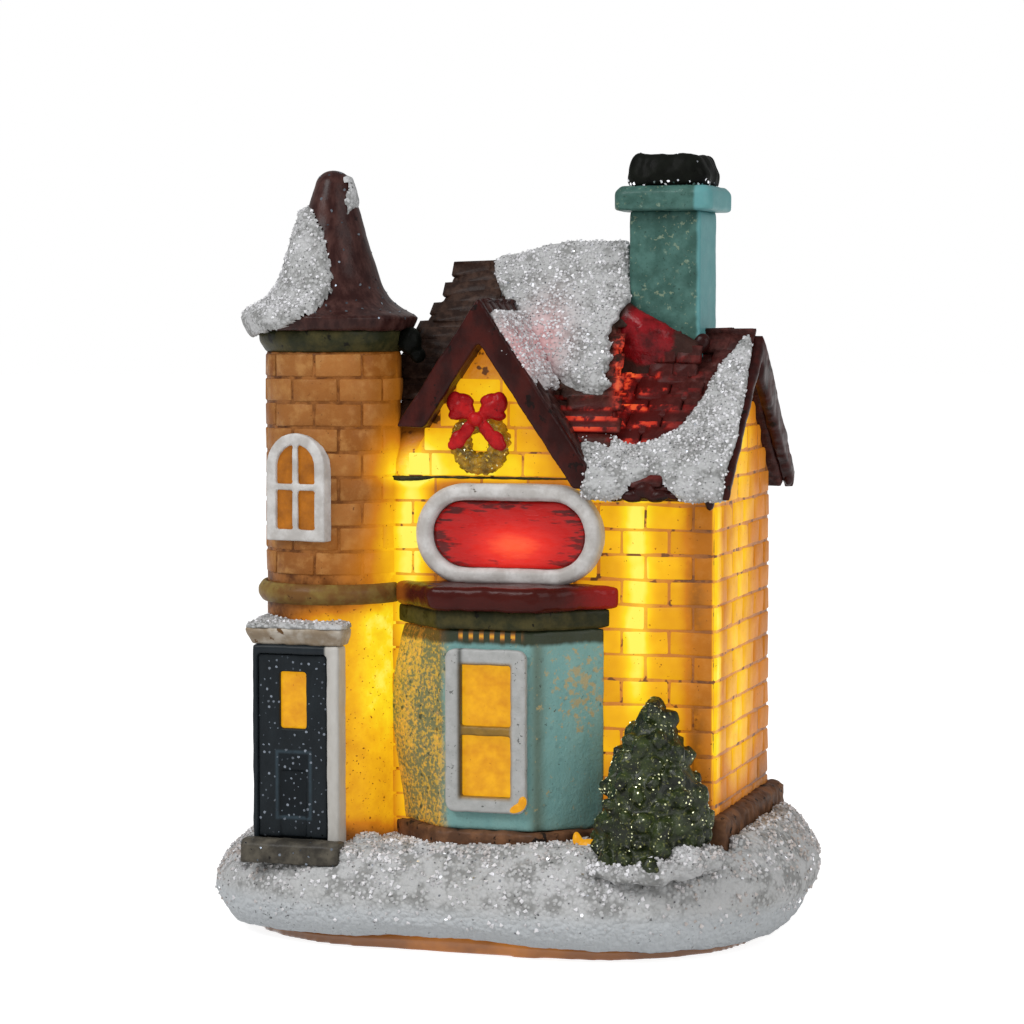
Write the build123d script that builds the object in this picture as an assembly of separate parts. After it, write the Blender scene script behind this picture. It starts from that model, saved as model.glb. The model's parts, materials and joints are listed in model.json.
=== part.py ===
from build123d import *
import math
import os

# A lit Christmas village house of cast resin: brick walls with a front gable, a round corner turret
# with a witch-hat roof, a shop bay with a sign, a chimney, a fir tree and a snow base that holds a
# battery light unit. Millimetres, +Z up, X to the right of the front, the front faces -Y.
# The origin is the middle of the resting face.

# Clearances
GLUE_GAP = 0.1                # round or fitted seats of bonded castings
RUN_GAP = 0.2                 # pieces that slide or turn in each other

# Snow base and its bare resin foot
BASE_WIDTH = 70.0
BASE_DEPTH = 53.0
BASE_SQUARENESS = 3.0         # exponent of the rounded outline
BASE_LUMPS = 0.012            # height of the outline's six soft lumps, as a share of its radius
FOOT_HEIGHT = 1.2
FOOT_INSET_SHARE = 0.57       # of the margin between the light unit and the base's edge
SNOW_BELLY_Z = 5.0            # where the bank is widest
SNOW_EDGE_Z = 8.6             # where the bank turns inwards
SNOW_EDGE_INSET = 1.2
SNOW_UNDERCUT = 1.6
SNOW_TOP_Z = 12.0             # top of the snow over the origin
SNOW_TOP_INSET = 4.4
SNOW_TILT = 2.4               # degrees; the snow lies deeper on the right
BASE_FLOOR = 1.4              # resin between the light unit's pocket and the walls' seat

# Walls
HOUSE_LEFT = -11.2            # left wall face
HOUSE_DEPTH = 27.0
HIGH_WIDTH = 22.4             # left block, under the high roof
WING_WIDTH = 15.1             # right block, under the low roof
WALL = 2.2
END_LEAN = 15.0               # degrees; the top of the left end leans inwards
END_LEAN_HEIGHT = 10.9        # of the leaning part, measured down from the ridge
BRICK_LENGTH = 5.4
BRICK_COURSE = 2.8
MORTAR_WIDTH = 0.45
MORTAR_DEPTH = 0.3

# Roofs
ROOF_THICK = 1.6
SHINGLE_COURSE = 1.9          # exposed length of one course along the slope
SHINGLE_BUTT = 0.5            # lift of a course at its lower edge
EAVE_OVERHANG = 3.6
VERGE_OVERHANG = 1.2
HIGH_RIDGE_Z = 76.0
HIGH_END_FLARE = 7.0          # degrees; the right verge spreads towards the eave
WING_RIDGE_Z = 67.2
WING_PITCH = 43.5
GABLE_X = 0.3
GABLE_RISE = 19.6             # from the eave to the gable's ridge
GABLE_PITCH = 56.0
GABLE_RUN_LEFT = 9.4
GABLE_RUN_RIGHT = 12.4
GABLE_FOOT_LEFT = 6.7         # above the eave, where the roofs end beside the turret
GABLE_FOOT_RIGHT = 0.2
GABLE_PROJECTION = 2.4        # gable roof in front of its wall
BOARD_THICK = 1.3
BOARD_PROUD = 0.3             # bargeboard above the shingles and below the soffit
BACK_BOARD_DROP = 0.3         # extra depth of the wing's back bargeboard
SNOW_THICK = 1.0              # snow lying on the roofs

# Chimney
CHIMNEY_X = 17.9
CHIMNEY_Y = 0.9
CHIMNEY_SIZE = 8.2
CHIMNEY_SHAFT_TOP = 81.8
CHIMNEY_CAP_SIZE = 11.4
CHIMNEY_CAP_HEIGHT = 2.8
FLUE_SIZE = 8.8
FLUE_WALL = 1.4
FLUE_HEIGHT = 3.4
SADDLE_DEPTH = 1.6
SADDLE_RISE = 5.8

# Turret
TURRET_RADIUS = 7.6
TURRET_WALL = 1.8
TURRET_BITE = 0.45            # how far the drum is let into the house corner
TURRET_SETBACK = 1.3          # drum axis behind the front wall face
TURRET_TOP_Z = 66.0
CORNICE_HEIGHT = 2.4
CORNICE_PROJECTION = 0.8
RING_Z = 37.8
RING_HEIGHT = 2.3
RING_PROJECTION = 1.1
HAT_HEIGHT = 18.0
HAT_EAVE_RADIUS = 9.6
HAT_NECK_RADIUS = 6.3         # of the cone, where it would meet the eave
HAT_TIP_RADIUS = 1.6
HAT_FLARE = 0.08              # share of the height over which the brim spreads
HAT_EAVE_THICK = 1.5
HAT_SNOW_SWEEP = 150.0        # degrees of the hat that the snow covers
TURRET_WINDOW_TURN = 12.0     # degrees to the left of the front
TURRET_WINDOW_WIDTH = 7.6
TURRET_WINDOW_HEIGHT = 12.0
WINDOW_SILL_SHARE = 0.35      # of the spare wall over the string course that lies under the window
TURRET_WINDOW_BAR = 1.25
MULLION = 0.7

# Entrance in front of the turret
PORCH_X = -19.65
PORCH_WIDTH = 10.2
PORCH_Z = 9.2
PORCH_HEIGHT = 24.2
PORCH_PROJECTION = 1.9        # in front of the drum
DOOR_WIDTH = 8.3
DOOR_SHIFT = 0.45             # door to the left of the porch's middle
DOOR_THICK = 1.0
DOOR_REVEAL = 0.4
DOOR_HEAD = 1.0
DOOR_PANE_WIDTH = 3.2
DOOR_PANE_HEIGHT = 6.4
DOOR_PANEL_DEPTH = 0.35
LINTEL_HEIGHT = 2.0
LINTEL_OVERHANG = 0.6
LINTEL_SNOW = 1.5
STEP_HEIGHT = 2.6
STEP_DEPTH = 2.2
STEP_OVERHANG = 0.7

# Shop bay
BAY_X = 2.2
BAY_BACK_WIDTH = 24.0
BAY_FRONT_WIDTH = 10.4
BAY_DEPTH = 6.2
BAY_WALL = 1.6
BAY_Z = 13.4
BAY_HEIGHT = 22.2
PLINTH_HEIGHT = 2.4
PLINTH_PROJECTION = 0.9
BAY_CORNICE_HEIGHT = 2.3
BAY_CORNICE_PROJECTION = 0.6
CANOPY_HEIGHT = 2.3
CANOPY_PROJECTION = 1.5
BAY_FRAME_WIDTH = 9.2
BAY_FRAME_HEIGHT = 18.0
BAY_FRAME_BAR = 1.7
BAY_FRAME_THICK = 1.0
BAY_PANE_THICK = 0.8

# Sign, wreath and bow
SIGN_X = 3.2
SIGN_WIDTH = 21.4
SIGN_HEIGHT = 11.2
SIGN_BAR = 1.8
SIGN_FRAME_THICK = 2.4
SIGN_PLATE_THICK = 1.4
WREATH_X = -0.4
WREATH_Z = 55.9
WREATH_RADIUS = 2.3
WREATH_TUBE = 0.95
BOW_WIDTH = 7.4
BOW_HEIGHT = 6.0
BOW_THICK = 2.0

# Fir tree and stone footing
TREE_X = 20.7
TREE_Y = -18.2
TREE_Z = 10.2
TREE_HEIGHT = 19.0
TREE_RADIUS = 6.3
TREE_TIERS = 5
TREE_FULLNESS = 1.7           # 1 is a straight cone, more is rounder
FOOTING_Z = 11.0
FOOTING_HEIGHT = 4.2
FOOTING_PROJECTION = 1.8

# Light unit in the underside
UNIT_X = 4.0
UNIT_RADIUS = 17.3
UNIT_FLANGE = 1.7
UNIT_RECESS = 0.8             # flange above the table
UNIT_FLANGE_THICK = 1.2
UNIT_HEIGHT = 5.9             # case above the flange
UNIT_WALL = 1.3
LID_THICK = 1.2
CELL_RADIUS = 10.0
CELL_HEIGHT = 3.2
CELL_X = 1.2
COVER_RADIUS = 12.2
COVER_RIM = 1.6               # ring of the cover that carries the bayonet lugs
LUG_REACH = 0.8
LUG_HEIGHT = 0.8
LUG_SWEEP = 20.0              # degrees
LUG_COUNT = 3
COVER_TWIST = 45.0            # degrees from locked to free
LEDGE_THICK = 1.0
COIN_SLOT_LENGTH = 12.0
COIN_SLOT_WIDTH = 1.8
COIN_SLOT_DEPTH = 0.7
CUP_WALL = 0.9
CONTACT_THICK = 0.25
CONTACT_WIDTH = 3.0
BOARD_RADIUS = 6.0
BOARD_SHEET = 0.8
LED_RADIUS = 2.5
LED_HEIGHT = 7.4
LED_COLLAR = 0.4
LIGHT_HOLE_RADIUS = 7.2
SWITCH_X = 16.9
SWITCH_WIDTH = 3.7
SWITCH_LENGTH = 8.6
SWITCH_HEIGHT = 3.5
SWITCH_TRAVEL = 2.0
KNOB_WIDTH = 1.8
KNOB_LENGTH = 2.2
KNOB_REACH = 0.5              # below the flange
KNOB_DEPTH = 1.9              # inside the switch

# Places worked out from the sizes above
FRONT_Y = -HOUSE_DEPTH / 2
BACK_Y = HOUSE_DEPTH / 2
JOINT_X = HOUSE_LEFT + HIGH_WIDTH
HOUSE_RIGHT = JOINT_X + WING_WIDTH
UNIT_TOP = UNIT_RECESS + UNIT_FLANGE_THICK + UNIT_HEIGHT + LID_THICK
SEAT_Z = UNIT_TOP + GLUE_GAP + BASE_FLOOR
TURRET_X = HOUSE_LEFT + TURRET_BITE - TURRET_RADIUS
TURRET_Y = FRONT_Y + TURRET_SETBACK
CORNICE_TOP = TURRET_TOP_Z + CORNICE_HEIGHT
RING_TOP = RING_Z + RING_HEIGHT
TURRET_WINDOW_Z = RING_TOP + (TURRET_TOP_Z - RING_TOP - TURRET_WINDOW_HEIGHT) * WINDOW_SILL_SHARE
DOOR_X = PORCH_X - DOOR_SHIFT
FOOT_INSET = (BASE_DEPTH / 2 - UNIT_RADIUS - UNIT_FLANGE - GLUE_GAP) * FOOT_INSET_SHARE
HALF_RUN = HOUSE_DEPTH / 2 + EAVE_OVERHANG
EAVE_Z = WING_RIDGE_Z - HALF_RUN * math.tan(math.radians(WING_PITCH))
GABLE_RIDGE_Z = EAVE_Z + GABLE_RISE
HIGH_PITCH = math.degrees(math.atan((HIGH_RIDGE_Z - EAVE_Z) / HALF_RUN))     # both roofs share one eave
PORCH_FRONT = TURRET_Y - TURRET_RADIUS - PORCH_PROJECTION
PORCH_TOP = PORCH_Z + PORCH_HEIGHT
BAY_TOP = BAY_Z + BAY_HEIGHT
CANOPY_Z = BAY_TOP + BAY_CORNICE_HEIGHT
CANOPY_TOP = CANOPY_Z + CANOPY_HEIGHT
SIGN_Z = CANOPY_TOP + SIGN_HEIGHT / 2
CAP_TOP = CHIMNEY_SHAFT_TOP + CHIMNEY_CAP_HEIGHT
FLANGE_TOP = UNIT_RECESS + UNIT_FLANGE_THICK
CASE_TOP = FLANGE_TOP + UNIT_HEIGHT
FAR = 200.0                   # reaches past the whole house in cutting shapes


def slope(pitch):
    """Rise of a roof for each millimetre of run."""
    return math.tan(math.radians(pitch))


def plumb(thickness, pitch):
    """A roof thickness measured plumb."""
    return thickness / math.cos(math.radians(pitch))


def prism_x(points, x_low, x_high):
    """A (Y, Z) outline drawn out along X."""
    face = Plane.YZ.offset(x_low) * make_face(Polyline(*points, close=True))
    return extrude(face, x_high - x_low)


def prism_y(points, y_low, y_high):
    """An (X, Z) outline drawn out along Y."""
    face = Plane.XZ.offset(-y_high) * make_face(Polyline(*points, close=True))
    return extrude(face, y_high - y_low)


def prism_z(sketch, z_low, z_high):
    """A plan drawn out along Z."""
    return extrude(Plane.XY.offset(z_low) * sketch, z_high - z_low)


def block(x_low, x_high, y_low, y_high, z_low, z_high):
    """A box given by its faces."""
    return Pos((x_low + x_high) / 2, (y_low + y_high) / 2, (z_low + z_high) / 2) * Box(
        x_high - x_low, y_high - y_low, z_high - z_low)


def drum(x, y, radius, z_low, z_high):
    """An upright cylinder."""
    return Pos(x, y, (z_low + z_high) / 2) * Cylinder(radius, z_high - z_low)


def turned(points, x, y):
    """A (radius, Z) outline turned about the upright axis at x, y."""
    face = Plane.XZ * make_face(Polyline(*points, close=True))
    return Pos(x, y, 0) * revolve(face, Axis.Z)


# Snow base


def base_outline(inset):
    """Rounded, softly lumped outline; the lumps are alike on opposite sides so it stays centred."""
    half_width = BASE_WIDTH / 2 / (1 + BASE_LUMPS) - inset
    half_depth = BASE_DEPTH / 2 / (1 + BASE_LUMPS) - inset
    count = 28
    points = []
    for i in range(count):
        angle = 2 * math.pi * i / count
        c, s = math.cos(angle), math.sin(angle)
        reach = (abs(c / half_width) ** BASE_SQUARENESS + abs(s / half_depth) ** BASE_SQUARENESS)
        radius = reach ** (-1 / BASE_SQUARENESS) * (1 + BASE_LUMPS * math.cos(6 * angle + 0.6))
        points.append((radius * c, radius * s))
    return make_face(Spline(*points, periodic=True))


def base_foot():
    plan = base_outline(FOOT_INSET) - Pos(UNIT_X, 0) * Circle(UNIT_RADIUS + UNIT_FLANGE + GLUE_GAP)
    return prism_z(plan, 0, FOOT_HEIGHT)


def snow_base(pockets):
    sections = [
        (FOOT_HEIGHT, SNOW_UNDERCUT, 0),
        (SNOW_BELLY_Z, 0, 0),
        (SNOW_EDGE_Z, SNOW_EDGE_INSET, SNOW_TILT / 2),
        (SNOW_TOP_Z, SNOW_TOP_INSET, SNOW_TILT),
    ]
    faces = []
    for z, inset, tilt in sections:
        faces.append(Plane.XY.offset(z).rotated((0, -tilt, 0)) * base_outline(inset))
    bank = loft(faces)
    pocket = drum(UNIT_X, 0, UNIT_RADIUS + GLUE_GAP, 0, UNIT_TOP + GLUE_GAP)
    pocket += drum(UNIT_X, 0, UNIT_RADIUS + UNIT_FLANGE + GLUE_GAP, 0, FLANGE_TOP)
    light_hole = drum(UNIT_X, 0, LIGHT_HOLE_RADIUS, 0, FAR)
    return bank - pocket - light_hole - pockets


# Walls


def house_block(x_low, x_high, ridge_z, pitch, inset):
    """Solid block under a roof with its ridge along X; inset moves every face inwards."""
    top = ridge_z - plumb(ROOF_THICK + inset, pitch)
    half = HOUSE_DEPTH / 2 - inset
    shoulder = top - half * slope(pitch)
    floor = SEAT_Z - (FAR if inset else 0)
    outline = [(-half, floor), (half, floor), (half, shoulder), (0, top), (-half, shoulder)]
    return prism_x(outline, x_low, x_high)


def lean_cut(x_foot):
    """What lies outside the leaning left end."""
    foot = HIGH_RIDGE_Z - END_LEAN_HEIGHT
    lean = slope(END_LEAN) * FAR
    outline = [(x_foot, foot), (x_foot + lean, foot + FAR), (-FAR, foot + FAR), (-FAR, foot)]
    return prism_y(outline, -FAR, FAR)


def gable_block(inset):
    """Solid block under the front gable, back to the high ridge."""
    top = GABLE_RIDGE_Z - plumb(ROOF_THICK + inset, GABLE_PITCH)
    left = GABLE_RUN_LEFT - VERGE_OVERHANG - inset
    right = GABLE_RUN_RIGHT - VERGE_OVERHANG - inset
    rise = slope(GABLE_PITCH)
    floor = SEAT_Z - (FAR if inset else 0)
    outline = [
        (GABLE_X - left, floor), (GABLE_X + right, floor), (GABLE_X + right, top - right * rise),
        (GABLE_X, top), (GABLE_X - left, top - left * rise),
    ]
    return prism_y(outline, FRONT_Y + inset, 0)


def house_envelope(inset):
    """Everything that the walls enclose, set in by inset."""
    high = house_block(HOUSE_LEFT + inset, JOINT_X - inset, HIGH_RIDGE_Z, HIGH_PITCH, inset)
    wing_start = JOINT_X - (2 * inset if inset else 0)
    wing = house_block(wing_start, HOUSE_RIGHT - inset, WING_RIDGE_Z, WING_PITCH, inset)
    return high - lean_cut(HOUSE_LEFT + inset) + wing + gable_block(inset)


def brick_joints(z_low, z_high):
    """Bed and head joints of the four walls, in running bond."""
    plan = Pos((HOUSE_LEFT + HOUSE_RIGHT) / 2, 0) * (
        Rectangle(HOUSE_RIGHT - HOUSE_LEFT + 1, HOUSE_DEPTH + 1)
        - Rectangle(HOUSE_RIGHT - HOUSE_LEFT - 2 * MORTAR_DEPTH, HOUSE_DEPTH - 2 * MORTAR_DEPTH))
    beds = []
    heads = []
    half = MORTAR_WIDTH / 2
    count = math.floor((z_high - z_low) / BRICK_COURSE)
    for course in range(count):
        z = z_low + course * BRICK_COURSE
        beds.append(prism_z(plan, z - half, z + half))
        shift = BRICK_LENGTH / 2 * (course % 2)
        low, high = z, z + BRICK_COURSE
        for i in range(math.ceil((HOUSE_RIGHT - HOUSE_LEFT) / BRICK_LENGTH)):
            x = HOUSE_RIGHT - shift - (i + 0.5) * BRICK_LENGTH
            if x - half < HOUSE_LEFT + MORTAR_DEPTH:
                continue
            for side in (-1, 1):
                y = side * HOUSE_DEPTH / 2
                heads.append(block(x - half, x + half, y - MORTAR_DEPTH, y + MORTAR_DEPTH, low, high))
        for i in range(math.ceil(HOUSE_DEPTH / BRICK_LENGTH)):
            y = FRONT_Y + shift + (i + 0.5) * BRICK_LENGTH
            if y + half > BACK_Y - MORTAR_DEPTH:
                continue
            for x in (HOUSE_LEFT, HOUSE_RIGHT):
                heads.append(block(x - MORTAR_DEPTH, x + MORTAR_DEPTH, y - half, y + half, low, high))
    return beds, heads


def house_shell(envelope, turret):
    beds, heads = brick_joints(SEAT_Z + BRICK_COURSE, GABLE_RIDGE_Z - ROOF_THICK)
    bay_opening = block(BAY_X - BAY_FRONT_WIDTH / 2, BAY_X + BAY_FRONT_WIDTH / 2,
                        FRONT_Y - 1, FRONT_Y + WALL + 1, BAY_Z + BAY_WALL, BAY_TOP - BAY_WALL)
    hollow = house_envelope(WALL)
    return (envelope - hollow - bay_opening - turret).cut(*beds).cut(*heads)


def stone_footing(envelope, turret, bay):
    """Rough stone course round the foot of the walls."""
    plan = Pos((HOUSE_LEFT + HOUSE_RIGHT) / 2, 0) * Rectangle(
        HOUSE_RIGHT - HOUSE_LEFT + 2 * FOOTING_PROJECTION, HOUSE_DEPTH + 2 * FOOTING_PROJECTION)
    course = prism_z(plan, FOOTING_Z, FOOTING_Z + FOOTING_HEIGHT)
    top = course.faces().sort_by(Axis.Z)[-1]
    course = chamfer(top.edges(), FOOTING_PROJECTION / 3, FOOTING_PROJECTION / 2)
    front = block(-FAR, BAY_X, -FAR, 0, 0, FAR)
    return course - envelope - turret - bay - front


# Roofs


def shingled_slope(ridge_z, pitch, run):
    """(Run, Z) points from ridge to eave; each course lifts at its lower edge."""
    count = max(1, round(plumb(run, pitch) / SHINGLE_COURSE))
    points = [(0, ridge_z)]
    for i in range(1, count + 1):
        t = run * i / count
        z = ridge_z - t * slope(pitch)
        points.append((t, z + plumb(SHINGLE_BUTT, pitch)))
        points.append((t, z))
    return points


def chevron(ridge_z, pitch, run_left, run_right, centre=0.0, thick=ROOF_THICK):
    """Outline of a shingled roof of one thickness, from eave to eave, with its eaves cut square."""
    left = [(centre - t, z) for t, z in reversed(shingled_slope(ridge_z, pitch, run_left))]
    right = [(centre + t, z) for t, z in shingled_slope(ridge_z, pitch, run_right)][1:]
    under = ridge_z - plumb(thick, pitch)
    back = thick * math.sin(math.radians(pitch))
    soffit = [
        (centre + run_right - back, under - (run_right - back) * slope(pitch)), (centre, under),
        (centre - run_left + back, under - (run_left - back) * slope(pitch)),
    ]
    return left + right + soffit


def plain_chevron(ridge_z, pitch, run_left, run_right, rise, centre=0.0):
    """As chevron, with a smooth top that stands rise above the shingles' plane."""
    top = ridge_z + plumb(rise, pitch)
    under = ridge_z - plumb(ROOF_THICK, pitch)
    fall_left = run_left * slope(pitch)
    fall_right = run_right * slope(pitch)
    return [
        (centre - run_left, top - fall_left), (centre, top), (centre + run_right, top - fall_right),
        (centre + run_right, under - fall_right), (centre, under), (centre - run_left, under - fall_left),
    ]


GABLE_FRONT = FRONT_Y - GABLE_PROJECTION
VERGE_LEFT = HOUSE_LEFT - VERGE_OVERHANG
VERGE_MIDDLE = JOINT_X + VERGE_OVERHANG
VERGE_RIGHT = HOUSE_RIGHT + VERGE_OVERHANG


def flare_cut():
    """What lies to the right of the high roof's spreading right verge."""
    spread = slope(HIGH_END_FLARE)
    outline = [
        (VERGE_MIDDLE - (FAR - HIGH_RIDGE_Z) * spread, FAR), (VERGE_MIDDLE + HIGH_RIDGE_Z * spread, 0),
        (FAR, 0), (FAR, FAR),
    ]
    return prism_y(outline, -FAR, FAR)


def high_roof_body(outline):
    """The high roof's outline, between its leaning left end and its spreading right verge."""
    body = prism_x(outline, VERGE_LEFT, VERGE_MIDDLE + HIGH_RIDGE_Z * slope(HIGH_END_FLARE))
    return body - lean_cut(VERGE_LEFT) - flare_cut()


def board_chevron(ridge_z, pitch, run_left, run_right, centre=0.0):
    """Outline of the gable's bargeboards: deeper than the roof and proud of its shingles."""
    top = ridge_z + plumb(SHINGLE_BUTT + BOARD_PROUD, pitch)
    under = ridge_z - plumb(ROOF_THICK + BOARD_PROUD, pitch)
    rise = slope(pitch)
    fall_left = run_left * rise
    fall_right = run_right * rise
    return [
        (centre - run_left, top - fall_left), (centre, top), (centre + run_right, top - fall_right),
        (centre + run_right, under - fall_right), (centre, under), (centre - run_left, under - fall_left),
    ]


def wing_board_outline():
    """(Y, Z) outline of the wing's bargeboards: a thin edge in front and a deep board at the back."""
    rise = slope(WING_PITCH)
    eave = HALF_RUN * rise
    top = WING_RIDGE_Z + plumb(SHINGLE_BUTT, WING_PITCH)
    front = WING_RIDGE_Z - plumb(ROOF_THICK / 2, WING_PITCH)
    back = WING_RIDGE_Z - plumb(ROOF_THICK + BOARD_PROUD, WING_PITCH) - BACK_BOARD_DROP
    inner = (front - back) / 2 / rise
    return [
        (-HALF_RUN, top - eave), (0, top), (HALF_RUN, top - eave), (HALF_RUN, back - eave),
        (-inner, back - inner * rise), (-inner, front - inner * rise), (-HALF_RUN, front - eave),
    ]


def gable_front_room():
    """Room under and in front of the gable roof, which the high roof's eave leaves free."""
    top = GABLE_RIDGE_Z + plumb(SHINGLE_BUTT + BOARD_PROUD, GABLE_PITCH)
    rise = slope(GABLE_PITCH)
    foot = GABLE_X + GABLE_RUN_RIGHT
    outline = [
        (GABLE_X, top), (foot, top - GABLE_RUN_RIGHT * rise), (foot, 0), (VERGE_LEFT, 0), (VERGE_LEFT, top),
    ]
    return prism_y(outline, -FAR, FRONT_Y)


def feet_room():
    """What lies below the levels at which the gable's two feet end."""
    right = GABLE_X + GABLE_RUN_RIGHT + BOARD_THICK
    return (block(-FAR, GABLE_X, -FAR, 0, 0, EAVE_Z + GABLE_FOOT_LEFT)
            + block(GABLE_X, right, -FAR, FRONT_Y, 0, EAVE_Z + GABLE_FOOT_RIGHT))


def under_roof(ridge_z, pitch, rise):
    """(Y, Z) outline of everything below a slope that stands rise above the shingles' plane."""
    top = ridge_z + plumb(rise, pitch)
    fall = FAR * slope(pitch)
    return [(-FAR, top - fall), (0, top), (FAR, top - fall), (FAR, -FAR * 4), (-FAR, -FAR * 4)]


def high_attic():
    """Room inside and under the high roof."""
    return high_roof_body(under_roof(HIGH_RIDGE_Z, HIGH_PITCH, 0))


def upper_snow_plan():
    """Plan of the patch on the high roof: over the ridge and down beside the chimney."""
    width = VERGE_MIDDLE - GABLE_X
    return [
        (GABLE_X - width * 0.23, 0), (GABLE_X + width * 0.3, HALF_RUN * 0.12), (VERGE_MIDDLE, HALF_RUN * 0.14),
        (VERGE_MIDDLE + width * 0.08, -HALF_RUN * 0.2), (VERGE_MIDDLE + width * 0.17, -HALF_RUN * 0.62),
        (VERGE_MIDDLE - width * 0.1, -HALF_RUN * 0.63), (GABLE_X + width * 0.58, -HALF_RUN * 0.56),
        (GABLE_X + width * 0.08, -HALF_RUN * 0.3),
    ]


def lower_snow_plan():
    """Plan of the patch on the wing: along the eave and up the right verge to the ridge."""
    width = VERGE_RIGHT - JOINT_X
    return [
        (JOINT_X + width * 0.03, -HALF_RUN * 0.97), (JOINT_X + width * 0.45, -HALF_RUN * 0.99),
        (VERGE_RIGHT - width * 0.3, -HALF_RUN * 0.92), (VERGE_RIGHT - width * 0.05, -HALF_RUN * 0.98),
        (VERGE_RIGHT + BOARD_THICK * 0.5, -HALF_RUN * 0.5), (VERGE_RIGHT - width * 0.02, -HALF_RUN * 0.08),
        (VERGE_RIGHT - width * 0.2, -HALF_RUN * 0.42), (VERGE_RIGHT - width * 0.45, -HALF_RUN * 0.76),
        (JOINT_X + width * 0.32, -HALF_RUN * 0.7), (JOINT_X + width * 0.1, -HALF_RUN * 0.7),
    ]


def patch(points):
    """Soft-edged plan of a snow patch."""
    return prism_z(make_face(Spline(*points, periodic=True)), 0, FAR)


# Chimney


def chimney_shaft():
    half = CHIMNEY_SIZE / 2
    return block(CHIMNEY_X - half, CHIMNEY_X + half, CHIMNEY_Y - half, CHIMNEY_Y + half,
                 SEAT_Z, CHIMNEY_SHAFT_TOP)


def chimney_stack(envelope, roof):
    return chimney_shaft() - envelope - roof


def chimney_cap():
    band = Pos(CHIMNEY_X, CHIMNEY_Y, CHIMNEY_SHAFT_TOP + CHIMNEY_CAP_HEIGHT / 2) * Box(
        CHIMNEY_CAP_SIZE, CHIMNEY_CAP_SIZE, CHIMNEY_CAP_HEIGHT)
    band = fillet(band.edges().filter_by(Axis.Z), CHIMNEY_CAP_SIZE / 8)
    return chamfer(band.edges().group_by(Axis.Z)[-1], CHIMNEY_CAP_HEIGHT / 4)


def chimney_flue():
    ring = Rectangle(FLUE_SIZE, FLUE_SIZE) - Rectangle(FLUE_SIZE - 2 * FLUE_WALL, FLUE_SIZE - 2 * FLUE_WALL)
    flue = prism_z(Pos(CHIMNEY_X, CHIMNEY_Y) * ring, CAP_TOP, CAP_TOP + FLUE_HEIGHT)
    corners = flue.edges().filter_by(Axis.Z).sort_by_distance((CHIMNEY_X, CHIMNEY_Y, CAP_TOP))[4:]
    return fillet(corners, FLUE_WALL)


def chimney_saddle(envelope, others):
    """Rounded wedge that sheds water round the chimney's front foot."""
    front = CHIMNEY_Y - CHIMNEY_SIZE / 2
    left = CHIMNEY_X - CHIMNEY_SIZE / 2 - VERGE_OVERHANG / 2
    right = CHIMNEY_X + CHIMNEY_SIZE / 2
    foot = WING_RIDGE_Z + front * slope(WING_PITCH)
    peak = foot + SADDLE_RISE + SADDLE_RISE / 3
    outline = [(left, SEAT_Z), (right, SEAT_Z), (right, foot + SADDLE_RISE / 2), (left, peak)]
    wedge = prism_y(outline, front - SADDLE_DEPTH, front)
    edge = wedge.edges().filter_by(GeomType.LINE).group_by(Axis.Y)[0].sort_by(Axis.Z)[-1]
    wedge = fillet(edge, SADDLE_DEPTH * 0.8)
    return wedge - envelope - others


# Turret


def turret_drum():
    """Smooth below the string course, brick above it."""
    wall = (drum(TURRET_X, TURRET_Y, TURRET_RADIUS, SEAT_Z, TURRET_TOP_Z)
            - drum(TURRET_X, TURRET_Y, TURRET_RADIUS - TURRET_WALL, SEAT_Z, TURRET_TOP_Z))
    band = Pos(TURRET_X, TURRET_Y) * (
        Circle(TURRET_RADIUS + 1) - Circle(TURRET_RADIUS - MORTAR_DEPTH))
    half = MORTAR_WIDTH / 2
    around = round(2 * math.pi * TURRET_RADIUS / BRICK_LENGTH)
    beds = []
    heads = []
    for course in range(math.floor((TURRET_TOP_Z - RING_TOP) / BRICK_COURSE)):
        z = RING_TOP + course * BRICK_COURSE
        beds.append(prism_z(band, z - half, z + half))
        for i in range(around):
            turn = 360 / around * (i + 0.5 * (course % 2))
            joint = Pos(TURRET_RADIUS, 0, z + BRICK_COURSE / 2) * Box(
                2 * MORTAR_DEPTH, MORTAR_WIDTH, BRICK_COURSE)
            heads.append(Pos(TURRET_X, TURRET_Y, 0) * Rot(0, 0, turn) * joint)
    return wall.cut(*beds).cut(*heads)


def turret_envelope(gap, z_low=SEAT_Z):
    """Room that the drum, its cornice and the hat's eave take up."""
    cornice = TURRET_RADIUS + CORNICE_PROJECTION + gap
    eave_top = CORNICE_TOP + HAT_EAVE_THICK * 2
    return (drum(TURRET_X, TURRET_Y, TURRET_RADIUS + gap, z_low, TURRET_TOP_Z)
            + drum(TURRET_X, TURRET_Y, cornice, TURRET_TOP_Z - gap, CORNICE_TOP)
            + drum(TURRET_X, TURRET_Y, HAT_EAVE_RADIUS + gap, CORNICE_TOP - gap, eave_top))


def turret_string_course(others):
    r = TURRET_RADIUS + GLUE_GAP
    out = TURRET_RADIUS + RING_PROJECTION
    points = [
        (r, RING_Z), (out - RING_PROJECTION / 2, RING_Z), (out, RING_Z + RING_HEIGHT / 3),
        (out, RING_Z + RING_HEIGHT * 2 / 3), (out - RING_PROJECTION / 2, RING_Z + RING_HEIGHT),
        (r, RING_Z + RING_HEIGHT),
    ]
    return turned(points, TURRET_X, TURRET_Y) - others


def turret_cornice():
    r = TURRET_RADIUS
    out = r + CORNICE_PROJECTION
    points = [
        (r - TURRET_WALL, TURRET_TOP_Z), (r, TURRET_TOP_Z), (out, TURRET_TOP_Z + CORNICE_HEIGHT / 2),
        (out, CORNICE_TOP), (r - TURRET_WALL, CORNICE_TOP),
    ]
    return turned(points, TURRET_X, TURRET_Y)


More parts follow.
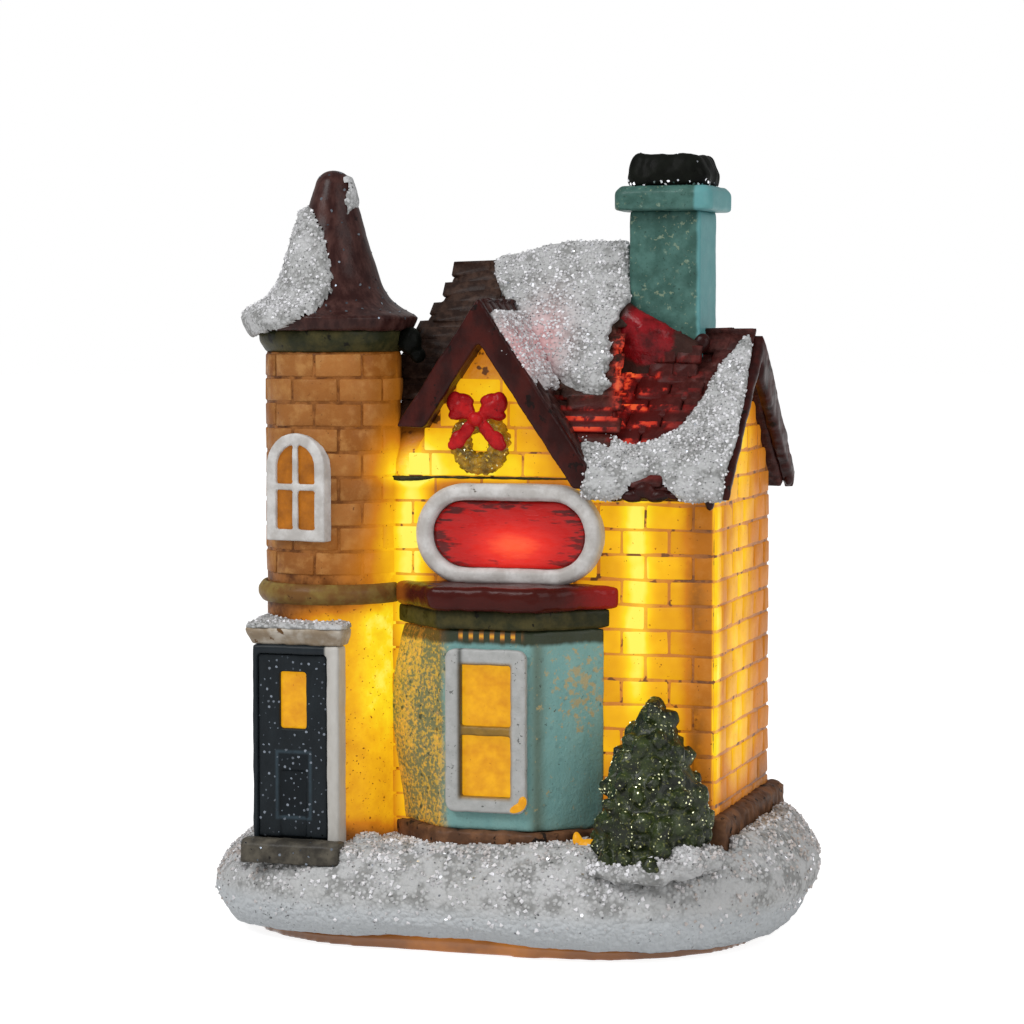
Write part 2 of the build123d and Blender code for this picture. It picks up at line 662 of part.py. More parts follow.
def hat_radius(share):
    """Radius of the witch hat at a share of its height: a straight cone with a brim that flares out."""
    cone = HAT_NECK_RADIUS + (HAT_TIP_RADIUS - HAT_NECK_RADIUS) * share
    return cone + (HAT_EAVE_RADIUS - HAT_NECK_RADIUS) * math.exp(-share / HAT_FLARE)


def hat_curve(proud, low, high):
    """Side of the hat as a (radius, Z) spline, moved outwards by proud."""
    rise = HAT_HEIGHT - HAT_EAVE_THICK
    start = CORNICE_TOP + HAT_EAVE_THICK
    points = []
    for i in range(9):
        share = low + (high - low) * (i / 8) ** 2
        points.append((hat_radius(share) + proud, start + rise * share))
    return Spline(*points)


def turret_roof():
    side = hat_curve(0, 0, 0.93)
    shoulder = side @ 1
    tip = CORNICE_TOP + HAT_HEIGHT
    drop = tip - shoulder.Y
    crown = RadiusArc(shoulder, (0, tip), -(drop ** 2 + shoulder.X ** 2) / (2 * drop))
    base = Polyline((0, tip), (0, CORNICE_TOP), (HAT_EAVE_RADIUS - HAT_EAVE_THICK / 2, CORNICE_TOP), side @ 0)
    return Pos(TURRET_X, TURRET_Y, 0) * revolve(Plane.XZ * make_face([side, crown, base]), Axis.Z)


def turret_roof_snow(hat):
    """Snow on the left of the hat, from the eave to near the tip."""
    inner = hat_curve(-SNOW_THICK, 0.0, 0.8)
    outer = hat_curve(SNOW_THICK * 0.8, 0.0, 0.75)
    face = make_face([inner, outer, Line(inner @ 0, outer @ 0), Line(inner @ 1, outer @ 1)])
    sweep = revolve(Plane.XZ * face, Axis.Z, HAT_SNOW_SWEEP)
    turn = -90 - TURRET_WINDOW_TURN - HAT_SNOW_SWEEP * 0.75
    return Pos(TURRET_X, TURRET_Y, 0) * Rot(0, 0, turn) * sweep - hat


def arched(width, height):
    """Window outline with a round head, its foot on the sketch's origin."""
    radius = width / 2
    spring = height - radius
    return Pos(0, spring / 2) * Rectangle(width, spring) + Pos(0, spring) * Circle(radius)


def turret_window():
    turn = math.radians(TURRET_WINDOW_TURN)
    out = Vector(-math.sin(turn), -math.cos(turn), 0)
    across = Vector(math.cos(turn), -math.sin(turn), 0)
    seat = TURRET_RADIUS - math.sqrt(TURRET_RADIUS ** 2 - (TURRET_WINDOW_WIDTH / 2) ** 2) + GLUE_GAP
    origin = Vector(TURRET_X, TURRET_Y, TURRET_WINDOW_Z) + out * (TURRET_RADIUS - seat)
    plane = Plane(origin=origin, x_dir=across, z_dir=out)
    proud = TURRET_WINDOW_BAR * 0.6
    outer = arched(TURRET_WINDOW_WIDTH, TURRET_WINDOW_HEIGHT)
    inner = Pos(0, TURRET_WINDOW_BAR) * arched(
        TURRET_WINDOW_WIDTH - 2 * TURRET_WINDOW_BAR, TURRET_WINDOW_HEIGHT - 2 * TURRET_WINDOW_BAR)
    cross = (Pos(0, TURRET_WINDOW_HEIGHT / 2) * Rectangle(MULLION, TURRET_WINDOW_HEIGHT)
             + Pos(0, TURRET_WINDOW_HEIGHT / 2) * Rectangle(TURRET_WINDOW_WIDTH, MULLION)) & inner
    room = drum(TURRET_X, TURRET_Y, TURRET_RADIUS + GLUE_GAP, SEAT_Z, TURRET_TOP_Z)
    pane = extrude(plane * inner, seat + proud / 2) - room
    bars = extrude(plane.offset(seat + proud / 2) * cross, proud / 2)
    frame = extrude(plane * (outer - inner), seat + proud) + bars - room
    return frame, pane


# Entrance


def porch_box(z_low, z_high, overhang, front):
    half = PORCH_WIDTH / 2 + overhang
    return block(PORCH_X - half, PORCH_X + half, front, TURRET_Y, z_low, z_high)


def door_recess(gap):
    """Room for the door leaf in the porch front."""
    half = DOOR_WIDTH / 2 + gap
    top = PORCH_TOP - DOOR_HEAD + gap
    back = PORCH_FRONT + DOOR_REVEAL + DOOR_THICK
    return block(DOOR_X - half, DOOR_X + half, PORCH_FRONT - 1, back, 0, top)


def door_porch(room):
    return porch_box(PORCH_Z, PORCH_TOP, 0, PORCH_FRONT) - room - door_recess(0)


def door_openings():
    """Plans of the glazed opening and of the sunk panel below it, in X and Z."""
    height = PORCH_HEIGHT - DOOR_HEAD
    pane_z = PORCH_Z + height * 0.72
    panel_z = PORCH_Z + height * 0.27
    return pane_z, panel_z


def door_leaf(threshold):
    y = PORCH_FRONT + DOOR_REVEAL
    half = DOOR_WIDTH / 2 - GLUE_GAP
    top = PORCH_TOP - DOOR_HEAD - GLUE_GAP
    leaf = block(DOOR_X - half, DOOR_X + half, y, y + DOOR_THICK, threshold, top)
    pane_z, panel_z = door_openings()
    opening = Pos(DOOR_X, y, pane_z) * Box(DOOR_PANE_WIDTH, 4 * DOOR_THICK, DOOR_PANE_HEIGHT)
    panel = Pos(DOOR_X, y, panel_z) * Box(DOOR_PANE_WIDTH, 2 * DOOR_PANEL_DEPTH, DOOR_PANE_HEIGHT * 1.2)
    return leaf - opening - panel


def door_pane():
    y = PORCH_FRONT + DOOR_REVEAL + DOOR_THICK
    pane_z, _ = door_openings()
    return block(DOOR_X - DOOR_PANE_WIDTH / 2, DOOR_X + DOOR_PANE_WIDTH / 2, y - DOOR_THICK / 2, y,
                 pane_z - DOOR_PANE_HEIGHT / 2, pane_z + DOOR_PANE_HEIGHT / 2)


def door_lintel(room):
    front = PORCH_FRONT - LINTEL_OVERHANG
    return porch_box(PORCH_TOP, PORCH_TOP + LINTEL_HEIGHT, LINTEL_OVERHANG, front) - room


def door_lintel_snow(room):
    low = PORCH_TOP + LINTEL_HEIGHT
    cap = porch_box(low, low + LINTEL_SNOW, LINTEL_OVERHANG, PORCH_FRONT - LINTEL_OVERHANG)
    return fillet(cap.edges().group_by(Axis.Z)[-1], LINTEL_SNOW * 0.6) - room


def door_step():
    half = PORCH_WIDTH / 2 + STEP_OVERHANG
    step = block(PORCH_X - half, PORCH_X + half, PORCH_FRONT - STEP_DEPTH, PORCH_FRONT,
                 PORCH_Z, PORCH_Z + STEP_HEIGHT)
    return chamfer(step.faces().sort_by(Axis.Z)[-1].edges().sort_by(Axis.Y)[0], STEP_HEIGHT / 4)


# Shop bay


def bay_plan(projection):
    """Canted plan of the bay, moved outwards by projection."""
    front = BAY_FRONT_WIDTH / 2 + projection * 0.6
    back = BAY_BACK_WIDTH / 2 + projection
    y = FRONT_Y - BAY_DEPTH - projection
    return make_face(Polyline((BAY_X - back, FRONT_Y), (BAY_X - front, y), (BAY_X + front, y),
                              (BAY_X + back, FRONT_Y), close=True))


def bay_window():
    body = prism_z(bay_plan(0), BAY_Z, BAY_TOP)
    hollow = prism_z(bay_plan(-BAY_WALL), BAY_Z + BAY_WALL, BAY_TOP - BAY_WALL)
    pane = bay_glazing(BAY_PANE_THICK, FRONT_Y - BAY_DEPTH)
    return body - hollow - pane


def bay_glazing(thick, front):
    """Glazed part of the centre facet, from its front face inwards."""
    half = BAY_FRAME_WIDTH / 2 - BAY_FRAME_BAR
    z = BAY_Z + (BAY_HEIGHT - BAY_FRAME_HEIGHT) / 2
    return block(BAY_X - half, BAY_X + half, front, front + thick, z + BAY_FRAME_BAR,
                 z + BAY_FRAME_HEIGHT - BAY_FRAME_BAR)


def bay_window_frame():
    z = BAY_Z + BAY_HEIGHT / 2
    outer = RectangleRounded(BAY_FRAME_WIDTH, BAY_FRAME_HEIGHT, BAY_FRAME_BAR * 0.6)
    light = BAY_FRAME_HEIGHT - 2 * BAY_FRAME_BAR
    inner = Rectangle(BAY_FRAME_WIDTH - 2 * BAY_FRAME_BAR, light) - Rectangle(BAY_FRAME_WIDTH, MULLION * 1.4)
    face = Plane.XZ.offset(-(FRONT_Y - BAY_DEPTH)) * (Pos(BAY_X, z) * (outer - inner))
    return extrude(face, BAY_FRAME_THICK)


# Sign, wreath and bow


def sign():
    outer = SlotOverall(SIGN_WIDTH, SIGN_HEIGHT)
    inner = SlotOverall(SIGN_WIDTH - 2 * SIGN_BAR, SIGN_HEIGHT - 2 * SIGN_BAR)
    fitted = SlotOverall(SIGN_WIDTH - 2 * SIGN_BAR - 2 * GLUE_GAP, SIGN_HEIGHT - 2 * SIGN_BAR - 2 * GLUE_GAP)
    wall = Plane.XZ.offset(-FRONT_Y)
    frame = extrude(wall * (Pos(SIGN_X, SIGN_Z) * (outer - inner)), SIGN_FRAME_THICK)
    frame = chamfer(frame.faces().sort_by(Axis.Y)[0].edges(), SIGN_BAR / 4)
    plate = extrude(wall * (Pos(SIGN_X, SIGN_Z) * fitted), SIGN_PLATE_THICK)
    return frame, plate


def sign_room():
    """What the sign takes up in front of the wall."""
    plan = SlotOverall(SIGN_WIDTH + 2 * GLUE_GAP, SIGN_HEIGHT + 2 * GLUE_GAP)
    return extrude(Plane.XZ.offset(-FRONT_Y) * (Pos(SIGN_X, SIGN_Z) * plan), BAY_DEPTH)


def wreath():
    centre = Pos(WREATH_X, FRONT_Y - WREATH_TUBE * 0.6, WREATH_Z)
    ring = centre * Rot(90, 0, 0) * Torus(WREATH_RADIUS, WREATH_TUBE)
    return ring - block(-FAR, FAR, FRONT_Y, FAR, 0, FAR)


def wreath_bow(ring):
    """Two loops, a knot and two tails, cut to sit over the wreath."""
    z = WREATH_Z + WREATH_RADIUS
    half = BOW_WIDTH / 2
    rise = BOW_HEIGHT * 0.5
    loop = make_face([
        Spline((0, 0), (half * 0.55, rise), (half, rise * 0.55), tangents=((0.6, 0.8), (0.1, -1))),
        Spline((half, rise * 0.55), (half * 0.7, -rise * 0.25), (0, 0), tangents=((-0.1, -1), (-1, 0.1))),
    ])
    tail = make_face(Polyline(
        (0, 0), (half * 0.75, -BOW_HEIGHT * 0.5), (half * 0.25, -BOW_HEIGHT * 0.55), close=True))
    knot = RectangleRounded(BOW_WIDTH * 0.24, BOW_HEIGHT * 0.34, BOW_WIDTH * 0.08)
    side = loop + tail
    plan = side + mirror(side, Plane.YZ) + knot
    bow = extrude(Plane.XZ.offset(-FRONT_Y) * (Pos(WREATH_X, z) * plan), BOW_THICK)
    return bow - ring


# Fir tree


def fir_tree(room):
    """Tiers of drooping boughs, each cone lapping the one above."""
    points = [(0, TREE_Z)]
    tier = TREE_HEIGHT / TREE_TIERS
    for i in range(TREE_TIERS):
        z = TREE_Z + i * tier
        low = TREE_RADIUS * (1 - (i / TREE_TIERS) ** TREE_FULLNESS)
        high = TREE_RADIUS * (1 - ((i + 0.8) / TREE_TIERS) ** TREE_FULLNESS)
        points.append((low, z + tier * 0.25 * (1 if i else 0)))
        points.append((high * 0.92, z + tier))
    points.append((0, TREE_Z + TREE_HEIGHT))
    return turned(points, TREE_X, TREE_Y) - room


# Light unit


def bayonet_lugs(radius, reach, z_low, z_high, start, sweep):
    """A ring of equal arcs, each sweep degrees wide."""
    lugs = []
    for i in range(LUG_COUNT):
        turn = start + 360 / LUG_COUNT * i - sweep / 2
        face = Plane.XZ * make_face(Polyline(
            (radius, z_low), (radius + reach, z_low), (radius + reach, z_high), (radius, z_high), close=True))
        lugs.append(Pos(CELL_X, 0, 0) * Rot(0, 0, turn) * revolve(face, Axis.Z, sweep))
    return lugs


RIM_RADIUS = CELL_RADIUS + RUN_GAP            # outside of the cover's ring
MOUTH_RADIUS = RIM_RADIUS + RUN_GAP           # the case's battery mouth
GROOVE_RADIUS = RIM_RADIUS + LUG_REACH + RUN_GAP
GROOVE_Z = FLANGE_TOP + LEDGE_THICK
LUG_Z = GROOVE_Z + RUN_GAP / 2
COVER_TOP = LUG_Z + LUG_HEIGHT


def light_unit_case():
    outer = drum(UNIT_X, 0, UNIT_RADIUS, UNIT_RECESS, CASE_TOP)
    flange = drum(UNIT_X, 0, UNIT_RADIUS + UNIT_FLANGE, UNIT_RECESS, FLANGE_TOP)
    room = drum(UNIT_X, 0, UNIT_RADIUS - UNIT_WALL, FLANGE_TOP, CASE_TOP)
    cup = drum(CELL_X, 0, COVER_RADIUS + RUN_GAP + CUP_WALL, UNIT_RECESS, CASE_TOP)
    groove = drum(CELL_X, 0, GROOVE_RADIUS, GROOVE_Z, COVER_TOP + RUN_GAP / 2)
    mouth = drum(CELL_X, 0, MOUTH_RADIUS, 0, CASE_TOP)
    cover_seat = drum(CELL_X, 0, COVER_RADIUS + RUN_GAP, 0, FLANGE_TOP)
    body = outer - room + (cup & outer) + flange - groove - mouth - cover_seat
    entries = bayonet_lugs(RIM_RADIUS, LUG_REACH + RUN_GAP / 2, UNIT_RECESS, GROOVE_Z + RUN_GAP,
                           COVER_TWIST, LUG_SWEEP * 1.3)
    return body.cut(*entries) - switch_slot() - positive_contact(GLUE_GAP)


def light_unit_lid():
    lid = drum(UNIT_X, 0, UNIT_RADIUS, CASE_TOP, CASE_TOP + LID_THICK)
    return lid - contact_tail(GLUE_GAP) - positive_contact(GLUE_GAP)


def battery_cover():
    disc = drum(CELL_X, 0, COVER_RADIUS, UNIT_RECESS, FLANGE_TOP)
    ring = (drum(CELL_X, 0, RIM_RADIUS, FLANGE_TOP, COVER_TOP)
            - drum(CELL_X, 0, RIM_RADIUS - COVER_RIM, FLANGE_TOP, COVER_TOP))
    slot = Pos(CELL_X, 0, UNIT_RECESS) * Box(COIN_SLOT_LENGTH, COIN_SLOT_WIDTH, 2 * COIN_SLOT_DEPTH)
    lugs = bayonet_lugs(RIM_RADIUS - COVER_RIM / 2, LUG_REACH + COVER_RIM / 2, LUG_Z, COVER_TOP, 0, LUG_SWEEP)
    return (disc + ring).fuse(*lugs) - slot


def coin_cell():
    low = COVER_TOP + RUN_GAP / 2
    return (drum(CELL_X, 0, CELL_RADIUS * 0.88, low, low + CELL_HEIGHT)
            + drum(CELL_X, 0, CELL_RADIUS, low, low + CELL_HEIGHT * 0.9))


CELL_TOP = COVER_TOP + RUN_GAP / 2 + CELL_HEIGHT
TAIL_X = CELL_X + BOARD_RADIUS * 0.9


def contact_tail(gap):
    """The negative contact's tail, up through the lid to the board."""
    half = CONTACT_WIDTH / 4 + gap
    thick = CONTACT_THICK / 2 + gap
    return block(TAIL_X - thick, TAIL_X + thick, -half, half, CASE_TOP - CONTACT_THICK, CASE_TOP + LID_THICK)


def negative_contact():
    """Sprung leaf under the lid that presses on the cell."""
    reach = CELL_RADIUS * 0.6
    bend = CELL_X - reach / 2
    under = CASE_TOP - CONTACT_THICK
    leaf = prism_y([
        (TAIL_X, CASE_TOP), (bend, CASE_TOP), (CELL_X - reach, CELL_TOP + CONTACT_THICK),
        (CELL_X - reach, CELL_TOP), (bend, under), (TAIL_X, under),
    ], -CONTACT_WIDTH / 2, CONTACT_WIDTH / 2)
    return leaf + contact_tail(0)


def positive_contact(gap):
    """Strip beside the cell, in a slot of the cup, with its tail up to the board."""
    half = CONTACT_WIDTH / 2 + gap
    x = CELL_X + CELL_RADIUS + RUN_GAP
    low = CELL_TOP - CELL_HEIGHT / 2
    return block(x - gap, x + CONTACT_THICK + gap, -half, half, low, CASE_TOP + LID_THICK)


def circuit_board():
    low = CASE_TOP + LID_THICK
    return drum(UNIT_X, 0, BOARD_RADIUS, low, low + BOARD_SHEET)


def led():
    low = CASE_TOP + LID_THICK + BOARD_SHEET
    top = low + LED_HEIGHT
    collar = Polyline((0, top), (0, low), (LED_RADIUS + LED_COLLAR, low), (LED_RADIUS + LED_COLLAR, low + 1),
                      (LED_RADIUS, low + 1), (LED_RADIUS, top - LED_RADIUS))
    dome = RadiusArc((LED_RADIUS, top - LED_RADIUS), (0, top), -LED_RADIUS)
    return Pos(UNIT_X, 0, 0) * revolve(Plane.XZ * make_face([collar, dome]), Axis.Z)


def switch_slot():
    """Room for the slider over its whole travel."""
    half = KNOB_WIDTH / 2 + RUN_GAP / 2
    low = -KNOB_LENGTH / 2 - RUN_GAP / 2
    top = FLANGE_TOP + KNOB_DEPTH + RUN_GAP
    return block(SWITCH_X - half, SWITCH_X + half, low, -low + SWITCH_TRAVEL, 0, top)


def switch_body():
    middle = SWITCH_TRAVEL / 2
    box = block(SWITCH_X - SWITCH_WIDTH / 2, SWITCH_X + SWITCH_WIDTH / 2, middle - SWITCH_LENGTH / 2,
                middle + SWITCH_LENGTH / 2, FLANGE_TOP, FLANGE_TOP + SWITCH_HEIGHT)
    return box - switch_slot()


def switch_slider():
    knob = block(SWITCH_X - KNOB_WIDTH / 2, SWITCH_X + KNOB_WIDTH / 2, -KNOB_LENGTH / 2, KNOB_LENGTH / 2,
                 UNIT_RECESS - KNOB_REACH, FLANGE_TOP + KNOB_DEPTH)
    return chamfer(knob.faces().sort_by(Axis.Z)[0].edges().filter_by(Axis.X), KNOB_REACH / 2)


def build():
    """Every piece by name; each later piece gives way to the ones it seats on."""
    envelope = house_envelope(0)
    turret = turret_envelope(GLUE_GAP)
    drum_room = drum(TURRET_X, TURRET_Y, TURRET_RADIUS + GLUE_GAP, 0, TURRET_TOP_Z)
    parts = {}

    parts["house_shell"] = house_shell(envelope, turret)
    parts["turret_drum"] = turret_drum()
    parts["turret_cornice"] = turret_cornice()
    parts["turret_roof"] = turret_roof()
    parts["turret_roof_snow"] = turret_roof_snow(parts["turret_roof"])
    parts["turret_window_frame"], parts["turret_window_pane"] = turret_window()

    high = high_roof_body(chevron(HIGH_RIDGE_Z, HIGH_PITCH, HALF_RUN, HALF_RUN))
    gable_outline = (GABLE_RIDGE_Z, GABLE_PITCH, GABLE_RUN_LEFT, GABLE_RUN_RIGHT, GABLE_X)
    gable = prism_y(chevron(*gable_outline), GABLE_FRONT, 0)
    boards = prism_y(board_chevron(*gable_outline), GABLE_FRONT - BOARD_THICK, GABLE_FRONT)
    wing = prism_x(chevron(WING_RIDGE_Z, WING_PITCH, HALF_RUN, HALF_RUN), JOINT_X, VERGE_RIGHT)
    chimney_room = chimney_shaft()
    sign_space = sign_room()
    front_space = gable_front_room()
    feet = feet_room()
    board_end = VERGE_RIGHT + BOARD_THICK
    wing_room = prism_x(under_roof(WING_RIDGE_Z, WING_PITCH, SHINGLE_BUTT), JOINT_X, board_end)
    eave_course = HALF_RUN - SHINGLE_COURSE
    eave_room = block(JOINT_X, FAR, -FAR, -eave_course, 0, FAR) + block(JOINT_X, FAR, eave_course, FAR, 0, FAR)
    high = high - wing_room - eave_room
    parts["high_roof"] = high - envelope - turret - chimney_room - front_space - feet
    parts["gable_roof"] = gable - envelope - high_attic() - parts["high_roof"] - turret - sign_space - feet
    parts["wing_roof"] = wing - envelope - gable - boards - front_space - chimney_room - sign_space
    parts["gable_bargeboards"] = boards - turret - sign_space - feet
    parts["wing_bargeboards"] = prism_x(wing_board_outline(), VERGE_RIGHT, board_end)

    lift = SHINGLE_BUTT + SNOW_THICK
    gable_room = prism_y(plain_chevron(*gable_outline[:4], SHINGLE_BUTT, GABLE_X), GABLE_FRONT, 0)
    upper = high_roof_body(plain_chevron(HIGH_RIDGE_Z, HIGH_PITCH, HALF_RUN, HALF_RUN, lift))
    upper = upper & patch(upper_snow_plan())
    parts["roof_snow_upper"] = upper - high_attic() - high - gable_room - wing_room - chimney_room - front_space
    lower = prism_x(plain_chevron(WING_RIDGE_Z, WING_PITCH, HALF_RUN, HALF_RUN, lift), JOINT_X, board_end)
    lower = lower & patch(lower_snow_plan())
    parts["roof_snow_lower"] = lower - wing_room - high - gable_room - boards - front_space

    parts["chimney_stack"] = chimney_stack(envelope, high)
    parts["chimney_cap"] = chimney_cap()
    parts["chimney_flue"] = chimney_flue()
    parts["chimney_saddle"] = chimney_saddle(envelope, high + wing + parts["roof_snow_upper"])

    parts["base_foot"] = base_foot()
    parts["door_porch"] = door_porch(drum_room)
    parts["door_step"] = door_step()
    parts["door_leaf"] = door_leaf(PORCH_Z + STEP_HEIGHT)
    parts["door_pane"] = door_pane()
    parts["door_lintel"] = door_lintel(drum_room)
    parts["door_lintel_snow"] = door_lintel_snow(drum_room)

    plinth = prism_z(bay_plan(PLINTH_PROJECTION), BAY_Z - PLINTH_HEIGHT, BAY_Z)
    parts["bay_plinth"] = plinth
    parts["bay_window"] = bay_window()
    parts["bay_window_pane"] = bay_glazing(BAY_PANE_THICK, FRONT_Y - BAY_DEPTH)
    parts["bay_window_frame"] = bay_window_frame()
    ring_room = drum(TURRET_X, TURRET_Y, TURRET_RADIUS + RING_PROJECTION + GLUE_GAP, RING_Z - GLUE_GAP,
                     RING_Z + RING_HEIGHT + GLUE_GAP) + drum_room
    parts["bay_cornice"] = prism_z(bay_plan(BAY_CORNICE_PROJECTION), BAY_TOP, CANOPY_Z) - ring_room
    parts["bay_canopy"] = prism_z(bay_plan(CANOPY_PROJECTION), CANOPY_Z, CANOPY_TOP) - ring_room
    porch_room = porch_box(PORCH_TOP, FAR, LINTEL_OVERHANG, PORCH_FRONT - LINTEL_OVERHANG) & block(
        -FAR, FAR, -FAR, FAR, 0, PORCH_TOP + LINTEL_HEIGHT + LINTEL_SNOW)
    parts["turret_string_course"] = turret_string_course(envelope + porch_room)

    parts["sign_frame"], parts["sign_plate"] = sign()
    parts["wreath"] = wreath()
    parts["wreath_bow"] = wreath_bow(parts["wreath"])

    footing_bay = prism_z(bay_plan(PLINTH_PROJECTION), 0, FAR)
    parts["stone_footing"] = stone_footing(envelope, drum_room, footing_bay)
    tree_room = envelope + parts["stone_footing"] + footing_bay
    parts["fir_tree"] = fir_tree(tree_room)

    step_half = PORCH_WIDTH / 2 + STEP_OVERHANG
    footing_back = BACK_Y + FOOTING_PROJECTION
    pockets = (block(HOUSE_LEFT, HOUSE_RIGHT, FRONT_Y, BACK_Y, SEAT_Z, FAR)
               + drum(TURRET_X, TURRET_Y, TURRET_RADIUS + GLUE_GAP, SEAT_Z, FAR)
               + porch_box(PORCH_Z, FAR, 0, PORCH_FRONT)
               + block(PORCH_X - step_half, PORCH_X + step_half, PORCH_FRONT - STEP_DEPTH, PORCH_FRONT,
                       PORCH_Z, FAR)
               + prism_z(bay_plan(PLINTH_PROJECTION), BAY_Z - PLINTH_HEIGHT, FAR)
               + block(BAY_X, HOUSE_RIGHT + FOOTING_PROJECTION, FRONT_Y - FOOTING_PROJECTION, footing_back,
                       FOOTING_Z, FAR)
               + block(HOUSE_LEFT - FOOTING_PROJECTION, HOUSE_RIGHT, 0, footing_back, FOOTING_Z, FAR)
               + drum(TREE_X, TREE_Y, TREE_RADIUS + GLUE_GAP, TREE_Z, FAR))
    parts["snow_base"] = snow_base(pockets)

    parts["light_unit_case"] = light_unit_case()
    parts["light_unit_lid"] = light_unit_lid()
    parts["battery_cover"] = battery_cover()
    parts["coin_cell"] = coin_cell()
    parts["negative_contact"] = negative_contact()
    parts["positive_contact"] = positive_contact(0)
    parts["circuit_board"] = circuit_board()
    parts["led"] = led()
    parts["switch_body"] = switch_body()
    parts["switch_slider"] = switch_slider()
    return parts


os.makedirs("parts", exist_ok=True)
for name, shape in build().items():
    export_step(shape, f"parts/{name}.step")
    print(name, len(shape.solids()), round(shape.volume, 1))
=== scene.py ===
# %% [markdown]
# # A small lit village house in cast resin
#
# The real object is a hand-painted casting about 88 mm tall. It glows because an LED shines through
# its thin walls, and glittered snow lies on its base and roofs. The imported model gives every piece's
# size and place. This lesson dresses it: soft castings instead of sharp solids, bricks and shingles
# laid by Geometry Nodes, paint mixed by shader nodes, and snow made of crumbs and flakes.

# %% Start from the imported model
import json
import math
import bmesh
import bpy
import numpy as np
from mathutils import Matrix, Vector, noise

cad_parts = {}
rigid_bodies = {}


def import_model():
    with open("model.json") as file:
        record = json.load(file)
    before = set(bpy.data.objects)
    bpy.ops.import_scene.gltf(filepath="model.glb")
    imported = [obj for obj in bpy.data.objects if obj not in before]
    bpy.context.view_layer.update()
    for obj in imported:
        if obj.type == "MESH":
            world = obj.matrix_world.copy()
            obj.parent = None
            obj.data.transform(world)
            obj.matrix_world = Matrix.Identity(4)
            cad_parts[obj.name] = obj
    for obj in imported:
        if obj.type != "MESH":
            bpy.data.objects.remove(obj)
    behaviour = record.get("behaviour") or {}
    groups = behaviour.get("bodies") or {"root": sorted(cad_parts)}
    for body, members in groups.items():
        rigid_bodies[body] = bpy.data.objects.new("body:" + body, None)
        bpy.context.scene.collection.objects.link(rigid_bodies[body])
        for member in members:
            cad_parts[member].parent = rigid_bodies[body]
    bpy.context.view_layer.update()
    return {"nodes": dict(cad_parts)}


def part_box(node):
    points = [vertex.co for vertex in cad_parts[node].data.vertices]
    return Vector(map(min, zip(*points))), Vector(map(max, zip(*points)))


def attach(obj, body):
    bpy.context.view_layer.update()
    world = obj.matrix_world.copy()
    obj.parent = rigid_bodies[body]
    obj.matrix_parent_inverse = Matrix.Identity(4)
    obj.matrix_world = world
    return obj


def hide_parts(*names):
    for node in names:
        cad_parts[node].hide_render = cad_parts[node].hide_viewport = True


for leftover in list(bpy.data.objects):
    bpy.data.objects.remove(leftover)
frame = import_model()
NODES = frame["nodes"]
HOUSE = "house"
MM = 0.001


def low_mm(node):
    """A node's lowest corner in millimetres."""
    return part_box(node)[0] / MM


def high_mm(node):
    """A node's highest corner in millimetres."""
    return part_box(node)[1] / MM


# %% [markdown]
# ## Nodes written as arithmetic
#
# Node trees are easier to read as sums than as lists of links. A Socket wraps one output, so
# `1 - mask * 0.5` adds the Math nodes by itself, and `z.step(24, 31)` a smooth step. A Graph adds any
# other node with one method: first the node's settings, then the values or links of its sockets.

# %% Socket and Graph


def shade(colour):
    """A colour as a paint maker reads it off a screen, 0 to 255, in Blender's linear numbers."""
    linear = [c / 3294.6 if c <= 10 else ((c / 255 + 0.055) / 1.055) ** 2.4 for c in colour]
    return (*linear, 1.0)


class Socket:
    """A node's output that takes part in Python arithmetic."""

    def __init__(self, graph, socket):
        self.graph = graph
        self.socket = socket

    def other(self, name):
        """Another output of the same node."""
        return Socket(self.graph, self.socket.node.outputs[name])

    def math(self, operation, *values):
        return self.graph.node("ShaderNodeMath", {"operation": operation}, dict(enumerate(values)))

    def __add__(self, value):
        return self.math("ADD", self, value)

    def __sub__(self, value):
        return self.math("SUBTRACT", self, value)

    def __rsub__(self, value):
        return self.math("SUBTRACT", value, self)

    def __mul__(self, value):
        return self.math("MULTIPLY", self, value)

    def __truediv__(self, value):
        return self.math("DIVIDE", self, value)

    def __rtruediv__(self, value):
        return self.math("DIVIDE", value, self)

    __radd__ = __add__
    __rmul__ = __mul__

    def larger(self, value):
        return self.math("MAXIMUM", self, value)

    def step(self, low, high):
        """0 below low and 1 above high, smooth between; the other way round where low is larger."""
        return self.graph.node("ShaderNodeMapRange", {"interpolation_type": "SMOOTHSTEP"},
                               {"Value": self, "From Min": low, "From Max": high})

    def bell(self, centre, width):
        """1 at the centre, fading out over about the width on both sides."""
        away = (self - centre) / width
        return self.math("EXPONENT", away * away * -1)

    def mix(self, *colours):
        """The first colour where this is 0, the second where it is 1; three numbers are 0 to 255."""
        first, second = (shade(c) if isinstance(c, tuple) and len(c) == 3 else c for c in colours)
        return self.graph.node("ShaderNodeMix", {"data_type": "RGBA"}, {0: self, 6: first, 7: second}, 2)

    def ramp(self, stops):
        return self.graph.node("ShaderNodeValToRGB", {"stops": stops}, {0: self})


class Graph:
    """A node tree with one method that adds nodes to it."""

    def __init__(self, tree):
        self.tree = tree
        tree.nodes.clear()

    def node(self, kind, settings=None, values=None, out=0):
        made = self.tree.nodes.new(kind)
        for name, setting in (settings or {}).items():
            if name == "stops":
                ramp = made.color_ramp.elements
                ramp.remove(ramp[1])
                ramp[0].position, ramp[0].color = setting[0]
                for place, colour in setting[1:]:
                    ramp.new(place).color = colour
            else:
                setattr(made, name, setting)
        for key, value in (values or {}).items():
            self.plug(made.inputs[key], value)
        return Socket(self, made.outputs[out]) if made.outputs else None

    def plug(self, entry, value):
        """Links a Socket to a node's input, or sets a constant on it."""
        if isinstance(value, Socket):
            self.tree.links.new(value.socket, entry)
        else:
            entry.default_value = value


